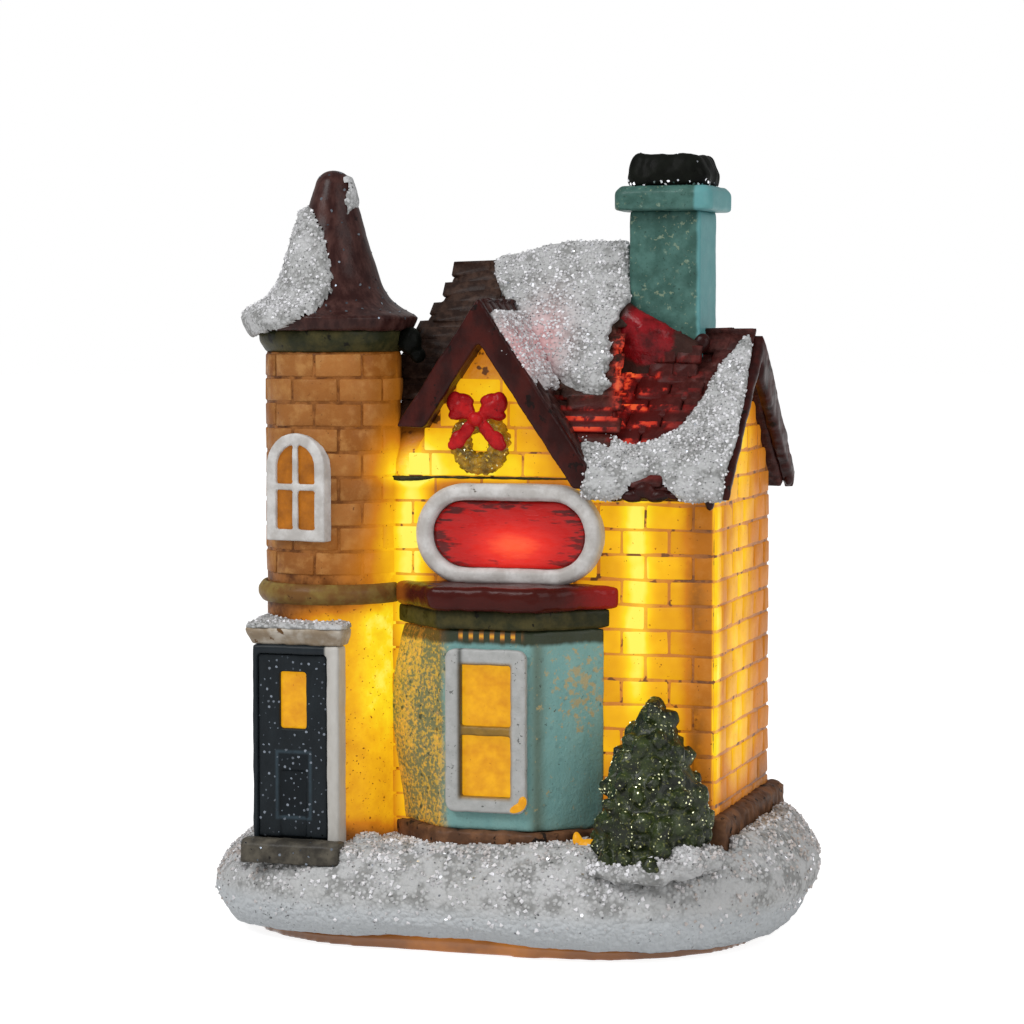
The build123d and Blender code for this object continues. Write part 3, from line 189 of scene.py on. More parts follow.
# %% [markdown]
# ## Paint
#
# Each finish is a Principled shader fed by patterns in millimetres of Object coordinates, so a blotch
# keeps its real size on every piece. The LED's glow is paint too: a few soft bells placed where the
# photograph shows thin resin, turned into an emission colour that goes from amber to pale yellow.

# %% The Paint class


class Paint(Graph):
    """A material with its patterns; x, y and z are millimetres in the model's frame."""

    def __init__(self, name, shine=0.5, lit=0.0, **constants):
        self.material = bpy.data.materials.new(name)
        self.material.use_nodes = True
        super().__init__(self.material.node_tree)
        surface = self.node("ShaderNodeBsdfPrincipled")
        self.shader = surface.socket.node
        self.node("ShaderNodeOutputMaterial", None, {"Surface": surface})
        place = self.node("ShaderNodeTexCoord", None, None, "Object")
        self.place = self.node("ShaderNodeVectorMath", {"operation": "SCALE"}, {0: place, "Scale": 1 / MM})
        self.x = self.node("ShaderNodeSeparateXYZ", None, {0: self.place})
        self.y, self.z = self.x.other(1), self.x.other(2)
        self.dressed(specular_IOR_level=shine, emission_strength=lit, **constants)

    def dressed(self, relief=None, **inputs):
        """Feeds the shader; relief is a pattern and how many millimetres it stands out. Gives the material."""
        if relief:
            height, depth = relief
            inputs["normal"] = self.node("ShaderNodeBump", None, {"Height": height, "Distance": depth * MM})
        for key, value in inputs.items():
            label = " ".join(word if word.isupper() else word.title() for word in key.split("_"))
            self.plug(self.shader.inputs[label], value)
        return self.material

    def tint(self):
        """The number from 0 to 1 that every brick, shingle, crumb and flake carries."""
        return self.node("ShaderNodeAttribute", {"attribute_name": "tint"}, None, "Fac")

    def noise(self, size, detail, seed, stretch=None):
        """Soft noise from 0 to 1 with blotches about size millimetres across."""
        place = self.place
        if stretch:
            place = self.node("ShaderNodeVectorMath", {"operation": "MULTIPLY"}, {0: place, 1: stretch})
        return self.node("ShaderNodeTexNoise", {"noise_dimensions": "4D"}, {
            "Vector": place, "W": seed, "Scale": 1 / size, "Detail": detail, "Roughness": 0.6})

    def cells(self, size):
        """Distance inside cells about size millimetres across."""
        return self.node("ShaderNodeTexVoronoi", {"feature": "F1"}, {"Vector": self.place, "Scale": 1 / size})


EMBER = ((0.0, (0.0, 0.0, 0.0, 1)), (0.25, (0.10, 0.030, 0.002, 1)), (0.5, (0.46, 0.15, 0.006, 1)),
         (0.75, (0.84, 0.45, 0.008, 1)), (0.9, (0.92, 0.70, 0.015, 1)), (1.0, (0.95, 0.89, 0.12, 1)))


def lamp_glow(paint):
    """How much of the LED's light comes through, 0 to 1, at a point of the walls."""
    x, y, z = paint.x, paint.y, paint.z
    stripe = x.bell(17.6, 1.5) * z.step(24, 31) * z.step(53, 50)
    wide = x.step(8, 12) * (1 - x.step(21.8, 24.6) * 0.42) * z.step(8, 22)
    left = x.bell(-8.7, 3.2) * z.step(10, 14) * z.step(60, 52)
    gable = z.step(50.5, 52.5) * z.step(74, 63) * x.bell(0, 11)
    under = x.bell(4, 10) * z.bell(46, 8)
    drum = x.bell(-13.5, 4.5) * z.bell(42, 6)
    front = y.step(-9.5, -12.8) * (stripe * 0.36 + wide * 0.70 + left * 0.87 + gable * 0.78
                                   + under * 0.4 * (1 - wide) + drum * 0.3)
    side = x.step(25.9, 26.2) * (0.42 + y.bell(-2.5, 7.5) * 0.36) * z.step(8, 22)
    behind = y.step(12.9, 13.4) * x.bell(9, 12) * z.bell(34, 18)
    west = x.step(-10.8, -11.1) * y.bell(4, 7) * z.bell(34, 18)
    return (front + side + behind * 0.7 + west * 0.6) * (paint.noise(3.4, 2, 4) * 0.4 + 0.78)


print("paint tools ready")

# %% [markdown]
# Most castings are brushed with one colour over an amber resin body. So one function serves them: a
# ground colour with lighter brush marks, dark grime in the pits, chips along a noise mask that show
# the colour below, and a satin coat. The numbers differ from piece to piece, the recipe doesn't.

# %% Brushed colour, the common finish


def brushed(name, ground, marks, chips, chipped, gloss, seed=0, streak=None, shine=0.1):
    """Hand-brushed paint on resin, worn through to the chips colour over a share of the surface."""
    paint = Paint(name, shine, coat_roughness=0.2)
    brush, fine = paint.noise(2.2, 4, seed, streak), paint.noise(0.45, 3, seed + 3)
    pits = fine.step(0.66, 0.74) * paint.noise(3.0, 2, seed + 5).step(0.4, 0.62)
    worn = paint.noise(1.3, 6, seed + 7).step(0.68 - chipped, 0.72 - chipped)
    colour = (pits * 0.45).mix(brush.step(0.38, 0.68).mix(ground, marks), (16, 13, 10))
    return paint.dressed((brush * 0.6 + fine * 0.4, 0.10), base_color=worn.mix(colour, chips),
                         roughness=gloss + paint.noise(1.1, 3, seed + 9) * 0.22,
                         coat_weight=brush.step(0.7, 0.35) * shine * 0.8)


PAINTS = {
    "maroon": brushed("maroon_gloss", (44, 21, 19), (74, 48, 44), (30, 12, 10), 0.04, 0.2, streak=(2, 2, 0.6)),
    "board": brushed("board_maroon", (40, 13, 11), (66, 25, 21), (24, 13, 11), 0.08, 0.24, streak=(1, 1, 0.5)),
    "moss": brushed("moss_satin", (36, 38, 20), (72, 66, 38), (18, 16, 8), 0.06, 0.4, 3),
    "lintel": brushed("lintel_stone", (140, 124, 104), (186, 178, 166), (98, 72, 46), 0.07, 0.45, 5.5),
    "olive": brushed("olive_satin", (108, 74, 36), (132, 112, 58), (62, 40, 16), 0.06, 0.4, 4),
    "white": brushed("trim_white", (176, 172, 168), (206, 204, 202), (92, 84, 74), 0.02, 0.42, 5),
    "slate": brushed("step_slate", (52, 49, 44), (94, 89, 79), (24, 22, 20), 0.06, 0.35, 6.5),
    "stone": brushed("stone_brown", (84, 58, 42), (126, 88, 62), (34, 26, 22), 0.1, 0.55, 7),
    "soot": brushed("flue_black", (8, 9, 7), (20, 22, 18), (4, 4, 4), 0.05, 0.4, 8, shine=0.04),
    "bow": brushed("bow_red", (146, 12, 18), (186, 32, 34), (92, 8, 12), 0.06, 0.25, 9),
}
print(len(PAINTS), "brushed paints")

# %% [markdown]
# ## Bricks, mortar and plaster that glow
#
# The walls are the thinnest resin. Where the lamp shines through, the brick colour turns from tan to
# amber to nearly white, and the brown wash in the joints almost disappears. Base Color and Emission
# Color share the same glow value, so the paint fades exactly where the light comes up. Each brick
# carries an attribute called tint, which makes neighbours differ.

# %% Wall paints


def flecks(paint, size, share, seed):
    """Small dark flecks, 1 on a fleck, gathered in patches."""
    dots = paint.noise(size, 2, seed).step(0.70 - share, 0.74 - share)
    return dots * paint.noise(size * 9, 2, seed + 1).step(0.38, 0.6)


def glowing(paint, colour, glow, dull, relief):
    """Finishes a wall by its colour and the light through it; dull is 1 where paint stops the light."""
    return paint.dressed(relief, base_color=glow.step(0.05, 0.7).mix(colour, (104, 60, 8)),
                         emission_color=(glow * (1 - dull * 0.75)).ramp(EMBER),
                         roughness=0.34 + paint.noise(0.8, 3, 2) * 0.3)


def brick_paint():
    paint = Paint("brick_glow", 0.1, 1, coat_weight=0.03, coat_roughness=0.25)
    tint, brush = paint.tint(), paint.noise(1.6, 4, 1)
    colour = brush.step(0.42, 0.72).mix(tint.mix((126, 76, 34), (158, 104, 54)), (170, 122, 70))
    quoin = paint.x.bell(24.2, 1.1) * paint.y.step(-12.8, -13.2) * tint.step(0.35, 0.5)
    dark = flecks(paint, 0.32, 0.02, 11).larger(quoin * brush.step(0.3, 0.6) * 0.45)
    return glowing(paint, (dark * 0.8).mix(colour, (58, 32, 12)), lamp_glow(paint) * (tint * 0.16 + 0.92), dark,
                   (brush * 0.5 + paint.noise(0.3, 3, 6) * 0.5, 0.12))


def mortar_paint():
    paint = Paint("mortar_wash", lit=1)
    wash = paint.noise(2.0, 4, 12)
    colour = wash.step(0.35, 0.7).mix((70, 36, 13), (110, 64, 26))
    dashes = paint.noise(1.5, 2, 16).step(0.58, 0.64)
    return glowing(paint, colour, lamp_glow(paint) * (wash * 0.34 + 0.56), dashes, (paint.noise(0.4, 3, 13), 0.1))


def plaster_paint():
    """The smooth lower drum of the turret, lit all over and brightest beside the bay."""
    paint = Paint("plaster_glow", 0.1, 1, coat_weight=0.04, coat_roughness=0.3)
    x, z = paint.x, paint.z
    blotch, dark = paint.noise(1.8, 5, 14), flecks(paint, 0.34, 0.06, 15)
    storey = z.step(39, 36) * z.step(10, 15)
    lower = (0.66 + x.step(-15.5, -11.5) * z.step(16, 30) * 0.26) * x.step(-24, -17) * storey
    glow = (lower + lamp_glow(paint) * (1 - storey)) * (blotch * 0.5 + 0.74)
    colour = blotch.step(0.34, 0.66).mix((80, 44, 19), (146, 94, 48))
    return glowing(paint, (dark * 0.8).mix(colour, (60, 34, 12)), glow, dark, (blotch, 0.14))


def pane_paint(name, bright, seed):
    """Amber resin glass with brush clouds, brighter or duller."""
    paint = Paint(name, 0.2, 1, roughness=0.35)
    cloud = paint.noise(1.4, 5, seed)
    glow = (cloud * 0.35 + bright) * (1 - flecks(paint, 0.35, 0.0, seed + 1) * 0.5)
    return paint.dressed((cloud, 0.12), base_color=cloud.mix((90, 48, 6), (120, 72, 16)),
                         emission_color=glow.ramp(EMBER))


PAINTS.update(brick=brick_paint(), mortar=mortar_paint(), plaster=plaster_paint(),
              pane_bright=pane_paint("amber_pane", 0.46, 61), pane_dull=pane_paint("amber_pane_dull", 0.16, 62))
print(len(PAINTS), "paints with the walls'")

# %% [markdown]
# Other castings change colour across their width or height, by hand on the real house. Their paints
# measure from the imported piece's own corners, so the marks stay in place if the piece moves.

# %% Paints of the sign, the canopy and the door


def sign_paint():
    """The bare red plate: brightest low in the middle, dark and worn towards its ends."""
    paint = Paint("sign_red", 0.25, 1, roughness=0.3, coat_weight=0.15)
    x, z = paint.x, paint.z
    middle = (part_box("sign_plate")[0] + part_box("sign_plate")[1]) / 2 / MM
    heart = x.bell(middle.x + 0.6, 5.4) * z.bell(middle.z - 1.3, 2.8)
    streaks = paint.noise(0.9, 4, 21, (0.35, 1, 1.6))
    edge = (x.bell(middle.x, 8.5) * z.bell(middle.z - 0.8, 4.6)).step(0.75, 0.3)
    worn = (streaks + edge * 0.16).step(0.60, 0.7) * (1 - heart * 0.6)
    glow = heart * (streaks * 0.5 + 0.75) * (1 - worn * 0.6)
    return paint.dressed((streaks, 0.16), base_color=worn.mix((164, 14, 10), (46, 10, 8)), emission_color=glow.ramp((
        (0, (0.04, 0, 0, 1)), (0.35, (0.22, 0.004, 0.003, 1)), (0.7, (0.5, 0.02, 0.009, 1)),
        (1, (0.78, 0.10, 0.03, 1)))))


def canopy_paint():
    """Maroon that turns red at its right-hand end, where light comes through, and tan at its left."""
    paint = Paint("canopy_red", 0.08, 1, roughness=0.25, coat_weight=0.06)
    low, high = low_mm("bay_canopy").x, high_mm("bay_canopy").x
    brush = paint.noise(1.8, 4, 22, (0.5, 1, 1))
    east = (paint.x + brush * 3).step(high - 4, high + 0.5)
    west = (paint.x + brush * 2).step(low + 3.6, low + 1.8)
    colour = east.mix(brush.mix((50, 15, 12), (78, 27, 22)), (130, 26, 24))
    return paint.dressed((brush, 0.14), base_color=west.mix(colour, (138, 76, 26)),
                         emission_color=east.mix((0, 0, 0), (0.03, 0.001, 0.001, 1)))


def panel(paint, left, right, foot, top, soft):
    """1 inside a rectangle of the front and 0 outside it, with soft edges."""
    across = paint.x.step(left, left + soft) * paint.x.step(right, right - soft)
    return across * paint.z.step(foot, foot + soft) * paint.z.step(top, top - soft)


def door_paint():
    """Navy, with a sunk lower panel darkened as painted shade, and a lighter, bluer ring round it as a painted
    highlight.
    """
    paint = Paint("door_navy", 0.1)
    low, right = low_mm("door_leaf"), high_mm("door_leaf").x
    brush = paint.noise(1.4, 4, 6, (1, 1, 0.5))
    # sunk is the lower panel, which the bump sinks and painted shade darkens; edge is a little wider and leaves a
    # painted highlight round it
    sunk, edge = (panel(paint, low.x + 2.2 - wider, right - 2.0 + wider, low.z + 2.2 - wider, low.z + 9.6 + wider, 0.3)
                  for wider in (0, 0.35))
    colour = (edge * brush).mix(brush.mix((15, 18, 21), (40, 46, 50)), (62, 78, 88))
    return paint.dressed((brush - sunk * 0.5, 0.12), base_color=(sunk * 0.85).mix(colour, (14, 16, 18)),
                         roughness=0.25 + brush * 0.3)


def porch_paint():
    """The door's surround: navy like the door, with a white jamb beside the turret."""
    paint = Paint("porch_two_colours", 0.12, roughness=0.35)
    brush, right = paint.noise(1.6, 4, 46, (1, 1, 0.4)), high_mm("door_leaf").x
    jamb = (paint.x + brush * 0.5).step(right, right + 0.3)
    return paint.dressed((brush, 0.12), base_color=jamb.mix(brush.mix((18, 23, 28), (44, 50, 54)),
                                                            brush.mix((150, 146, 138), (204, 202, 198))))


PAINTS.update(sign=sign_paint(), crimson=canopy_paint(), door=door_paint(), porch=porch_paint())
print(len(PAINTS), "paints so far")

# %% [markdown]
# The bay is the most weathered casting: turquoise on the right, rubbed down to speckled amber on the
# left. Two or three noises of different grain, each cut by a step, give that wear without a picture.

# %% Paints of the bay and the base's rim


def frame_paint():
    """The bay window's frame: worn white, with an olive crossbar and painted shade along the inside of its left-hand
    side.
    """
    paint = Paint("bay_frame_white", 0.3, roughness=0.45)
    low, high = low_mm("bay_window_frame"), high_mm("bay_window_frame")
    brush = paint.noise(1.2, 5, 48)
    white = brush.mix((136, 138, 134), (190, 190, 190))
    white = (flecks(paint, 0.4, 0.07, 49) * 0.8).mix(white, (52, 56, 52))
    inside = panel(paint, low.x + 1.3, high.x - 1.3, low.z + 1.2, high.z - 1.2, 0.6)
    # edge: a dark line just inside the opening's left side, painted shade where the frame meets the pane
    edge = paint.x.bell(low.x + 1.7, 0.3) * paint.z.step(low.z + 1, low.z + 2)
    colour = inside.mix(white, brush.mix((96, 74, 26), (164, 124, 48)))
    return paint.dressed((brush, 0.16), base_color=(edge * 0.8).mix(colour, (38, 40, 32)))


def bay_paint():
    """Turquoise brushed thinly over amber: nearly whole on the right, worn and speckled on the left."""
    paint = Paint("bay_turquoise", 0.3, 1, coat_weight=0.08, coat_roughness=0.3)
    x, z, top = paint.x, paint.z, high_mm("bay_window").z
    middle = (low_mm("bay_window_frame").x + high_mm("bay_window_frame").x) / 2
    brush, fine = paint.noise(2.4, 4, 41, (1.6, 1, 0.4)), paint.noise(0.42, 4, 47)
    patch = paint.noise(3.2, 3, 50, (1, 1, 0.5))
    west = (x + brush * 3).step(middle - 2.6, middle - 4.4)
    whole = (x.bell(middle + 5.6, 0.7) * 0.85).mix(brush.mix((96, 146, 146), (134, 172, 166)), (84, 102, 88))
    tan = x.bell(middle + 9.8, 2.8) * z.bell(29, 4.5)
    worn = (paint.noise(0.7, 6, 45) + tan * 0.16).step(0.60, 0.70) * x.step(middle, middle + 5)
    patchy = (fine * 0.7 + patch * 0.3).step(0.46, 0.55).mix((88, 110, 82), (190, 160, 68))
    colour = west.mix((worn * 0.8).mix(whole, (172, 152, 104)), patchy)
    colour = (z + brush).step(top - 1.4, top - 0.8).mix(colour, (40, 48, 28))
    dots = paint.cells(1.1).step(0.26, 0.2) * paint.noise(2.0, 2, 39).step(0.5, 0.56)
    dark = flecks(paint, 0.42, 0.05 + west * 0.04, 42).larger(dots * (west * 0.7 + 0.2))
    flake = (paint.noise(0.45, 4, 43) * 0.7 + patch * 0.3).step(0.48, 0.60) * west
    dentils = x.math("SINE", x * 5.2).step(0.0, 0.4) * z.bell(top - 0.7, 0.42)
    dentils = dentils * x.step(middle - 4, middle - 3) * x.step(middle + 4.4, middle + 3.4)
    glow = (flake * 0.22 + west * 0.16 + dentils * 0.62) * (1 - dark)
    return paint.dressed((brush * 0.5 + fine * 0.5, 0.2), base_color=(dark * 0.75).mix(colour, (30, 34, 28)),
                         emission_color=glow.ramp(EMBER), roughness=0.4 + brush * 0.2)


def rim_paint():
    """Bare amber resin under the snow, with light in its middle."""
    paint = Paint("amber_rim", lit=1, roughness=0.22, coat_weight=0.5)
    cloud = paint.noise(5.0, 3, 51)
    return paint.dressed((cloud, 0.2), base_color=cloud.mix((96, 60, 34), (168, 104, 40)),
                         emission_color=(paint.x.bell(2, 18) * 0.42 * (cloud + 0.4)).ramp(EMBER))


PAINTS.update(frame=frame_paint(), bay=bay_paint(), rim=rim_paint())
print(len(PAINTS), "paints so far")

# %% [markdown]
# The roofs and the chimney are lacquered. Red light leaks out between the shingle rows near the chimney,
# so that paint counts the rows: the fraction of the height under the ridge says how far down a row is.

# %% Paints of the chimney and the shingles
HIGH_FALL, WING_FALL = 1.1376, 1.803


def chimney_paint():
    """Teal, greyer and speckled in front. The right-hand side is clean, painted lighter and bluer as painted light on
    that face.
    """
    paint = Paint("chimney_teal", 0.2, coat_weight=0.08)
    brush, fine, right = paint.noise(1.8, 5, 2), paint.noise(0.4, 4, 2.5), high_mm("chimney_stack").x
    colour = brush.step(0.35, 0.7).mix((48, 82, 74), (72, 110, 102))
    colour = (fine.step(0.60, 0.68) * 0.6).mix(colour, (24, 36, 30))
    colour = (flecks(paint, 0.5, 0.1, 2.8) * 0.5).mix(colour, (146, 156, 126))
    colour = (paint.noise(0.5, 3, 2.8).step(0.66, 0.72) * 0.5).mix(colour, (132, 158, 146))
    # east is the right-hand face, painted lighter and bluer: painted light on that face
    east = (paint.x + brush * 0.4).step(right - 0.35, right + 0.1)
    colour = east.mix(colour, brush.mix((78, 134, 138), (104, 160, 160)))
    return paint.dressed((brush * 0.6 + fine * 0.4, 0.14), base_color=colour, roughness=0.4 + fine * 0.2)


def saddle_paint():
    """A glossy red lump of resin at the chimney's foot, dark like the shingles round it."""
    paint = Paint("saddle_lacquer", 0.12)
    brush, crust = paint.noise(1.2, 4, 1), paint.noise(1.8, 5, 1.5)
    lump = (paint.x.bell(16.2, 3.7) * paint.z.bell(68, 4) + brush * 0.3).step(0.55, 0.68)
    red = crust.step(0.3, 0.66).mix((66, 13, 14), (136, 26, 32))
    return paint.dressed((brush * 0.5 + crust * 0.5, 0.35), roughness=0.5 - lump * 0.35,
                         base_color=lump.mix(brush.mix((38, 20, 17), (64, 40, 34)), red))


def shingle_paint(name, ridge, fall, heart_x, heart_z, ground, marks):
    """Dark crusted shingles. Red light leaks out round a heart, under rows that each fall by that much."""
    paint = Paint(name, 0.1, 1, coat_weight=0.05, coat_roughness=0.25)
    x, z, front = paint.x, paint.z, paint.y.step(0, -2)
    crust, bars = paint.noise(0.9, 5, 31), paint.noise(1.3, 3, 32, (1, 1, 0.4))
    heart = x.bell(*heart_x) * z.bell(*heart_z) * front
    valley = (x - 12.4 - (76 - z) * 0.1228).bell(0.3, 0.8) * z.step(69, 67) * front * z.step(56, 64)
    row = (ridge - z) / fall
    leak = row.math("FRACT", row).step(0.6, 0.3) * (bars + paint.tint() * 0.15).step(0.5, 0.66)
    glow = heart * leak * 0.85 + valley * crust.step(0.35, 0.6) * 0.9
    return paint.dressed((crust, 0.16), base_color=heart.mix(crust.step(0.4, 0.68).mix(ground, marks), (74, 14, 12)),
                         roughness=0.3 + crust * 0.35, emission_color=glow.ramp((
                             (0, (0, 0, 0, 1)), (0.3, (0.10, 0.003, 0.003, 1)), (0.65, (0.5, 0.03, 0.012, 1)),
                             (1, (0.86, 0.13, 0.03, 1)))))


PAINTS.update(
    teal=chimney_paint(), lacquer=saddle_paint(),
    shingle_high=shingle_paint("shingle_high", 76.0, HIGH_FALL, (11.6, 3.6), (58.4, 2.8), (40, 25, 19), (68, 49, 40)),
    shingle_wing=shingle_paint("shingle_wing", 67.4, WING_FALL, (16.2, 5.4), (60, 6.6), (50, 23, 20), (80, 44, 40)))
print(len(PAINTS), "paints so far")

# %% [markdown]
# ## Snow, glitter and greenery
#
# The snow is white sand set in varnish: grey-lavender in the hollows, with dark gaps between crumbs
# and flakes that flash. Crumbs and flakes are real meshes laid later, so this paint only has to
# colour the bed that they lie in, with a fine grain, dark pits and a blush where red light comes up.

# %% Snow, glitter and leaf paints


def snow_paint():
    paint = Paint("snow_bed", 0.35, 1)
    z, cloud, grain = paint.z, paint.noise(6.0, 3, 71), paint.cells(0.55)
    pits = grain.step(0.30, 0.5) * paint.noise(2.2, 3, 72).step(0.42, 0.6)
    band = z.step(6.5, 4.0)
    colour = (pits * (1 - band) * 0.6).mix(cloud.mix((156, 158, 156), (204, 204, 206)), (88, 88, 84))
    colour = (band * 0.8).mix(colour, (184, 189, 193))
    colour = (flecks(paint, 0.45, 0.05, 73) * 0.85).mix(colour, (34, 36, 30))
    blush = paint.x.bell(4.9, 2.6) * z.bell(67, 4) * z.step(56, 60)
    return paint.dressed((grain * -1 + paint.noise(0.25, 2, 74) * 0.5, 0.22), roughness=0.5 + cloud * 0.25,
                         base_color=(blush * 0.5).mix(colour, (214, 160, 160)),
                         emission_color=blush.mix((0, 0, 0), (0.10, 0.015, 0.02, 1)))


def crumb_paint():
    """One crumb of snow sand: pale, each with its own grey."""
    paint = Paint("snow_crumb", 0.6)
    tint, frost, patch = paint.tint(), paint.noise(0.5, 2, 75), paint.noise(3.0, 3, 76)
    colour = (patch.step(0.52, 0.66) * 0.4).mix(tint.mix((138, 138, 134), (236, 236, 238)), (116, 112, 102))
    dirt = paint.y.step(-25, -21) * paint.z.step(13.5, 12) * patch.step(0.4, 0.6)
    colour = (dirt * 0.5).mix(colour, (150, 122, 88))
    colour = (tint + patch * 0.1).step(0.16, 0.13).mix(colour, (44, 46, 40))
    return paint.dressed(base_color=(frost * 0.3).mix(colour, (190, 186, 200)), roughness=0.3 + frost * 0.3)


def flake_paint(name, dark, bright, seed):
    """Metallised film flakes; tint sets how strongly each one flashes, and the brightest glow in their bright colour
    as a painted glint.
    """
    paint = Paint(name, lit=0.6, metallic=1)
    tint, hue = paint.tint(), paint.noise(1.7, 2, seed)
    # emission_color: flakes with a high tint glow in their bright colour, a painted glint
    return paint.dressed(base_color=(hue * 0.25).mix(tint.mix(dark, bright), (200, 214, 232)),
                         emission_color=tint.step(0.62, 0.9).mix((0, 0, 0), bright), roughness=0.12 + hue * 0.2)


def leaf_paint(name, deep, fresh, dusted, seed, glow):
    """Clumped leaves: deep green in the hollows, dusted tips, and a share of the lamp's light."""
    paint = Paint(name, 0.3, 1)
    clump, fine = paint.noise(1.5, 4, seed), paint.noise(0.4, 3, seed + 1)
    colour = (fine.step(0.56, 0.68) * 0.7).mix(clump.step(0.35, 0.7).mix(deep, fresh), dusted)
    return paint.dressed((fine, 0.1), base_color=colour, emission_color=(clump * glow).ramp(EMBER),
                         roughness=0.2 + fine * 0.3)


PAINTS.update(snow=snow_paint(), crumb=crumb_paint(),
              silver=flake_paint("glitter_silver", (120, 124, 130), (252, 252, 255), 81),
              pewter=flake_paint("glitter_pewter", (36, 40, 46), (84, 88, 94), 80),
              gold=flake_paint("glitter_gold_green", (84, 92, 48), (226, 226, 176), 82),
              fir=leaf_paint("fir_green", (14, 20, 8), (50, 62, 26), (120, 122, 62), 83, 0),
              holly=leaf_paint("wreath_green", (38, 50, 12), (118, 112, 26), (214, 186, 64), 84, 0.58))
print(len(PAINTS), "paints in all")

# %% [markdown]
# ## Three node trees that do the handwork
#
# A casting's skin, courses of bricks or shingles, and scattered crumbs: these repeat all over the
# house, so each is one Geometry Nodes tree with named inputs and a seed. The trees end in Realize
# Instances and Set Material, and settle() turns the result into a plain mesh, because an exported
# model keeps neither instances nor live modifiers.

# %% The Maker class


class Maker(Graph):
    """A Geometry Nodes tree; value() adds a named input."""

    def __init__(self, name):
        super().__init__(bpy.data.node_groups.new(name, "GeometryNodeTree"))
        for way in ("INPUT", "OUTPUT"):
            self.tree.interface.new_socket("Geometry", in_out=way, socket_type="NodeSocketGeometry")
        self.entry = self.tree.nodes.new("NodeGroupInput")
        self.geometry = Socket(self, self.entry.outputs["Geometry"])

    def value(self, name, kind="Float"):
        self.tree.interface.new_socket(name, in_out="INPUT", socket_type="NodeSocket" + kind)
        return Socket(self, self.entry.outputs[name])

    def chance(self, low, high, seed):
        """A random number, or three of them, for each instance or point."""
        kind, first, out = ("FLOAT_VECTOR", 0, 0) if isinstance(low, tuple) else ("FLOAT", 2, 1)
        return self.node("FunctionNodeRandomValue", {"data_type": kind},
                         {first: low, first + 1: high, "Seed": seed}, out)

    def attribute(self, name, kind="FLOAT_VECTOR"):
        return self.node("GeometryNodeInputNamedAttribute", {"data_type": kind}, {"Name": name})

    def pushed(self, geometry, height):
        """Moves every point along its normal."""
        normal = self.node("GeometryNodeInputNormal")
        offset = self.node("ShaderNodeVectorMath", {"operation": "SCALE"}, {0: normal, "Scale": height})
        return self.node("GeometryNodeSetPosition", None, {"Geometry": geometry, "Offset": offset})

    def wobble(self, size, seed):
        """Noise from -1 to 1 in blotches of that size."""
        place = self.node("GeometryNodeInputPosition")
        cloud = self.node("ShaderNodeTexNoise", {"noise_dimensions": "4D"},
                          {"Vector": place, "W": seed, "Scale": 1 / size, "Detail": 2.0})
        return cloud * 2 - 1

    def units(self, points, rotation, scale, lean, seed):
        """A unit on each point, leaned, with a tint from 0 to 1 that its paint can read."""
        unit = self.node("GeometryNodeObjectInfo", None, {"Object": self.value("Unit", "Object")}, "Geometry")
        laid = self.node("GeometryNodeInstanceOnPoints", None, {
            "Points": points, "Instance": unit, "Rotation": rotation, "Scale": scale})
        laid = self.node("GeometryNodeRotateInstances", None, {"Instances": laid, "Rotation": lean})
        laid = self.node("GeometryNodeStoreNamedAttribute", {"data_type": "FLOAT", "domain": "INSTANCE"},
                         {"Geometry": laid, "Name": "tint", "Value": self.chance(0.0, 1.0, seed)})
        return self.node("GeometryNodeRealizeInstances", None, {0: laid})

    def deliver(self, geometry):
        paint = self.value("Paint", "Material")
        painted = self.node("GeometryNodeSetMaterial", None, {"Geometry": geometry, "Material": paint})
        self.node("NodeGroupOutput", None, {0: painted})
        return self.tree


print("maker ready")

# %% Trees: skin, courses and scatter


def skin_tree():
    """Soft lumps and fine grain on a casting, and a swelling of the whole."""
    make = Maker("casting_skin")
    seed = make.value("Seed")
    lumps = make.wobble(make.value("Lump Size"), seed) * make.value("Lump")
    grain = make.wobble(make.value("Grain Size"), seed + 5) * make.value("Grain")
    return make.deliver(make.pushed(make.geometry, lumps + grain + make.value("Swell")))


def course_tree():
    """A unit, such as a brick, on each point, turned and sized by the point and a little crooked."""
    make = Maker("laid_courses")
    seed = make.value("Seed", "Int")
    lean = make.node("ShaderNodeVectorMath", {"operation": "SCALE"},
                     {0: make.chance((-1, -1, -1), (1, 1, 1), seed), "Scale": make.value("Crooked")})
    laid = make.units(make.geometry, make.attribute("facing"), make.attribute("size"), lean, seed)
    return make.deliver(make.pushed(laid, make.wobble(make.value("Wear Size"), 3.0) * make.value("Wear")))


def scatter_tree():
    """Crumbs, flakes or leaves strewn over a surface, turned at random and partly sunk."""
    make = Maker("strewn_bits")
    seed = make.value("Seed", "Int")
    points = make.node("GeometryNodeDistributePointsOnFaces", {"distribute_method": "POISSON"}, {
        "Mesh": make.geometry, "Distance Min": make.value("Spacing"), "Density Max": make.value("Density"),
        "Seed": seed, "Density Factor": make.attribute("strewn", "FLOAT")})
    size = make.chance(make.value("Smallest"), make.value("Largest"), seed)
    lean = make.node("ShaderNodeVectorMath", {"operation": "MULTIPLY"},
                     {0: make.chance((-1, -1, -3.14), (1, 1, 3.14), seed), 1: make.value("Lean", "Vector")})
    return make.deliver(make.units(points, points.other("Rotation"), size, lean, seed))


SKIN, COURSES, SCATTER = skin_tree(), course_tree(), scatter_tree()
print("trees", SKIN.name, COURSES.name, SCATTER.name)

# %% How a tree runs on a piece


def new_piece(name, mesh):
    piece = bpy.data.objects.new(name, mesh)
    bpy.context.scene.collection.objects.link(piece)
    return piece


def grow(piece, tree, **inputs):
    """Runs a tree on a piece, each input set by its socket's identifier, and settles it."""
    modifier = piece.modifiers.new(tree.name, "NODES")
    modifier.node_group = tree
    for item in tree.interface.items_tree:
        key = item.name.lower().replace(" ", "_")
        if item.in_out == "INPUT" and key in inputs:
            modifier[item.identifier] = inputs[key]
    return settle(piece)


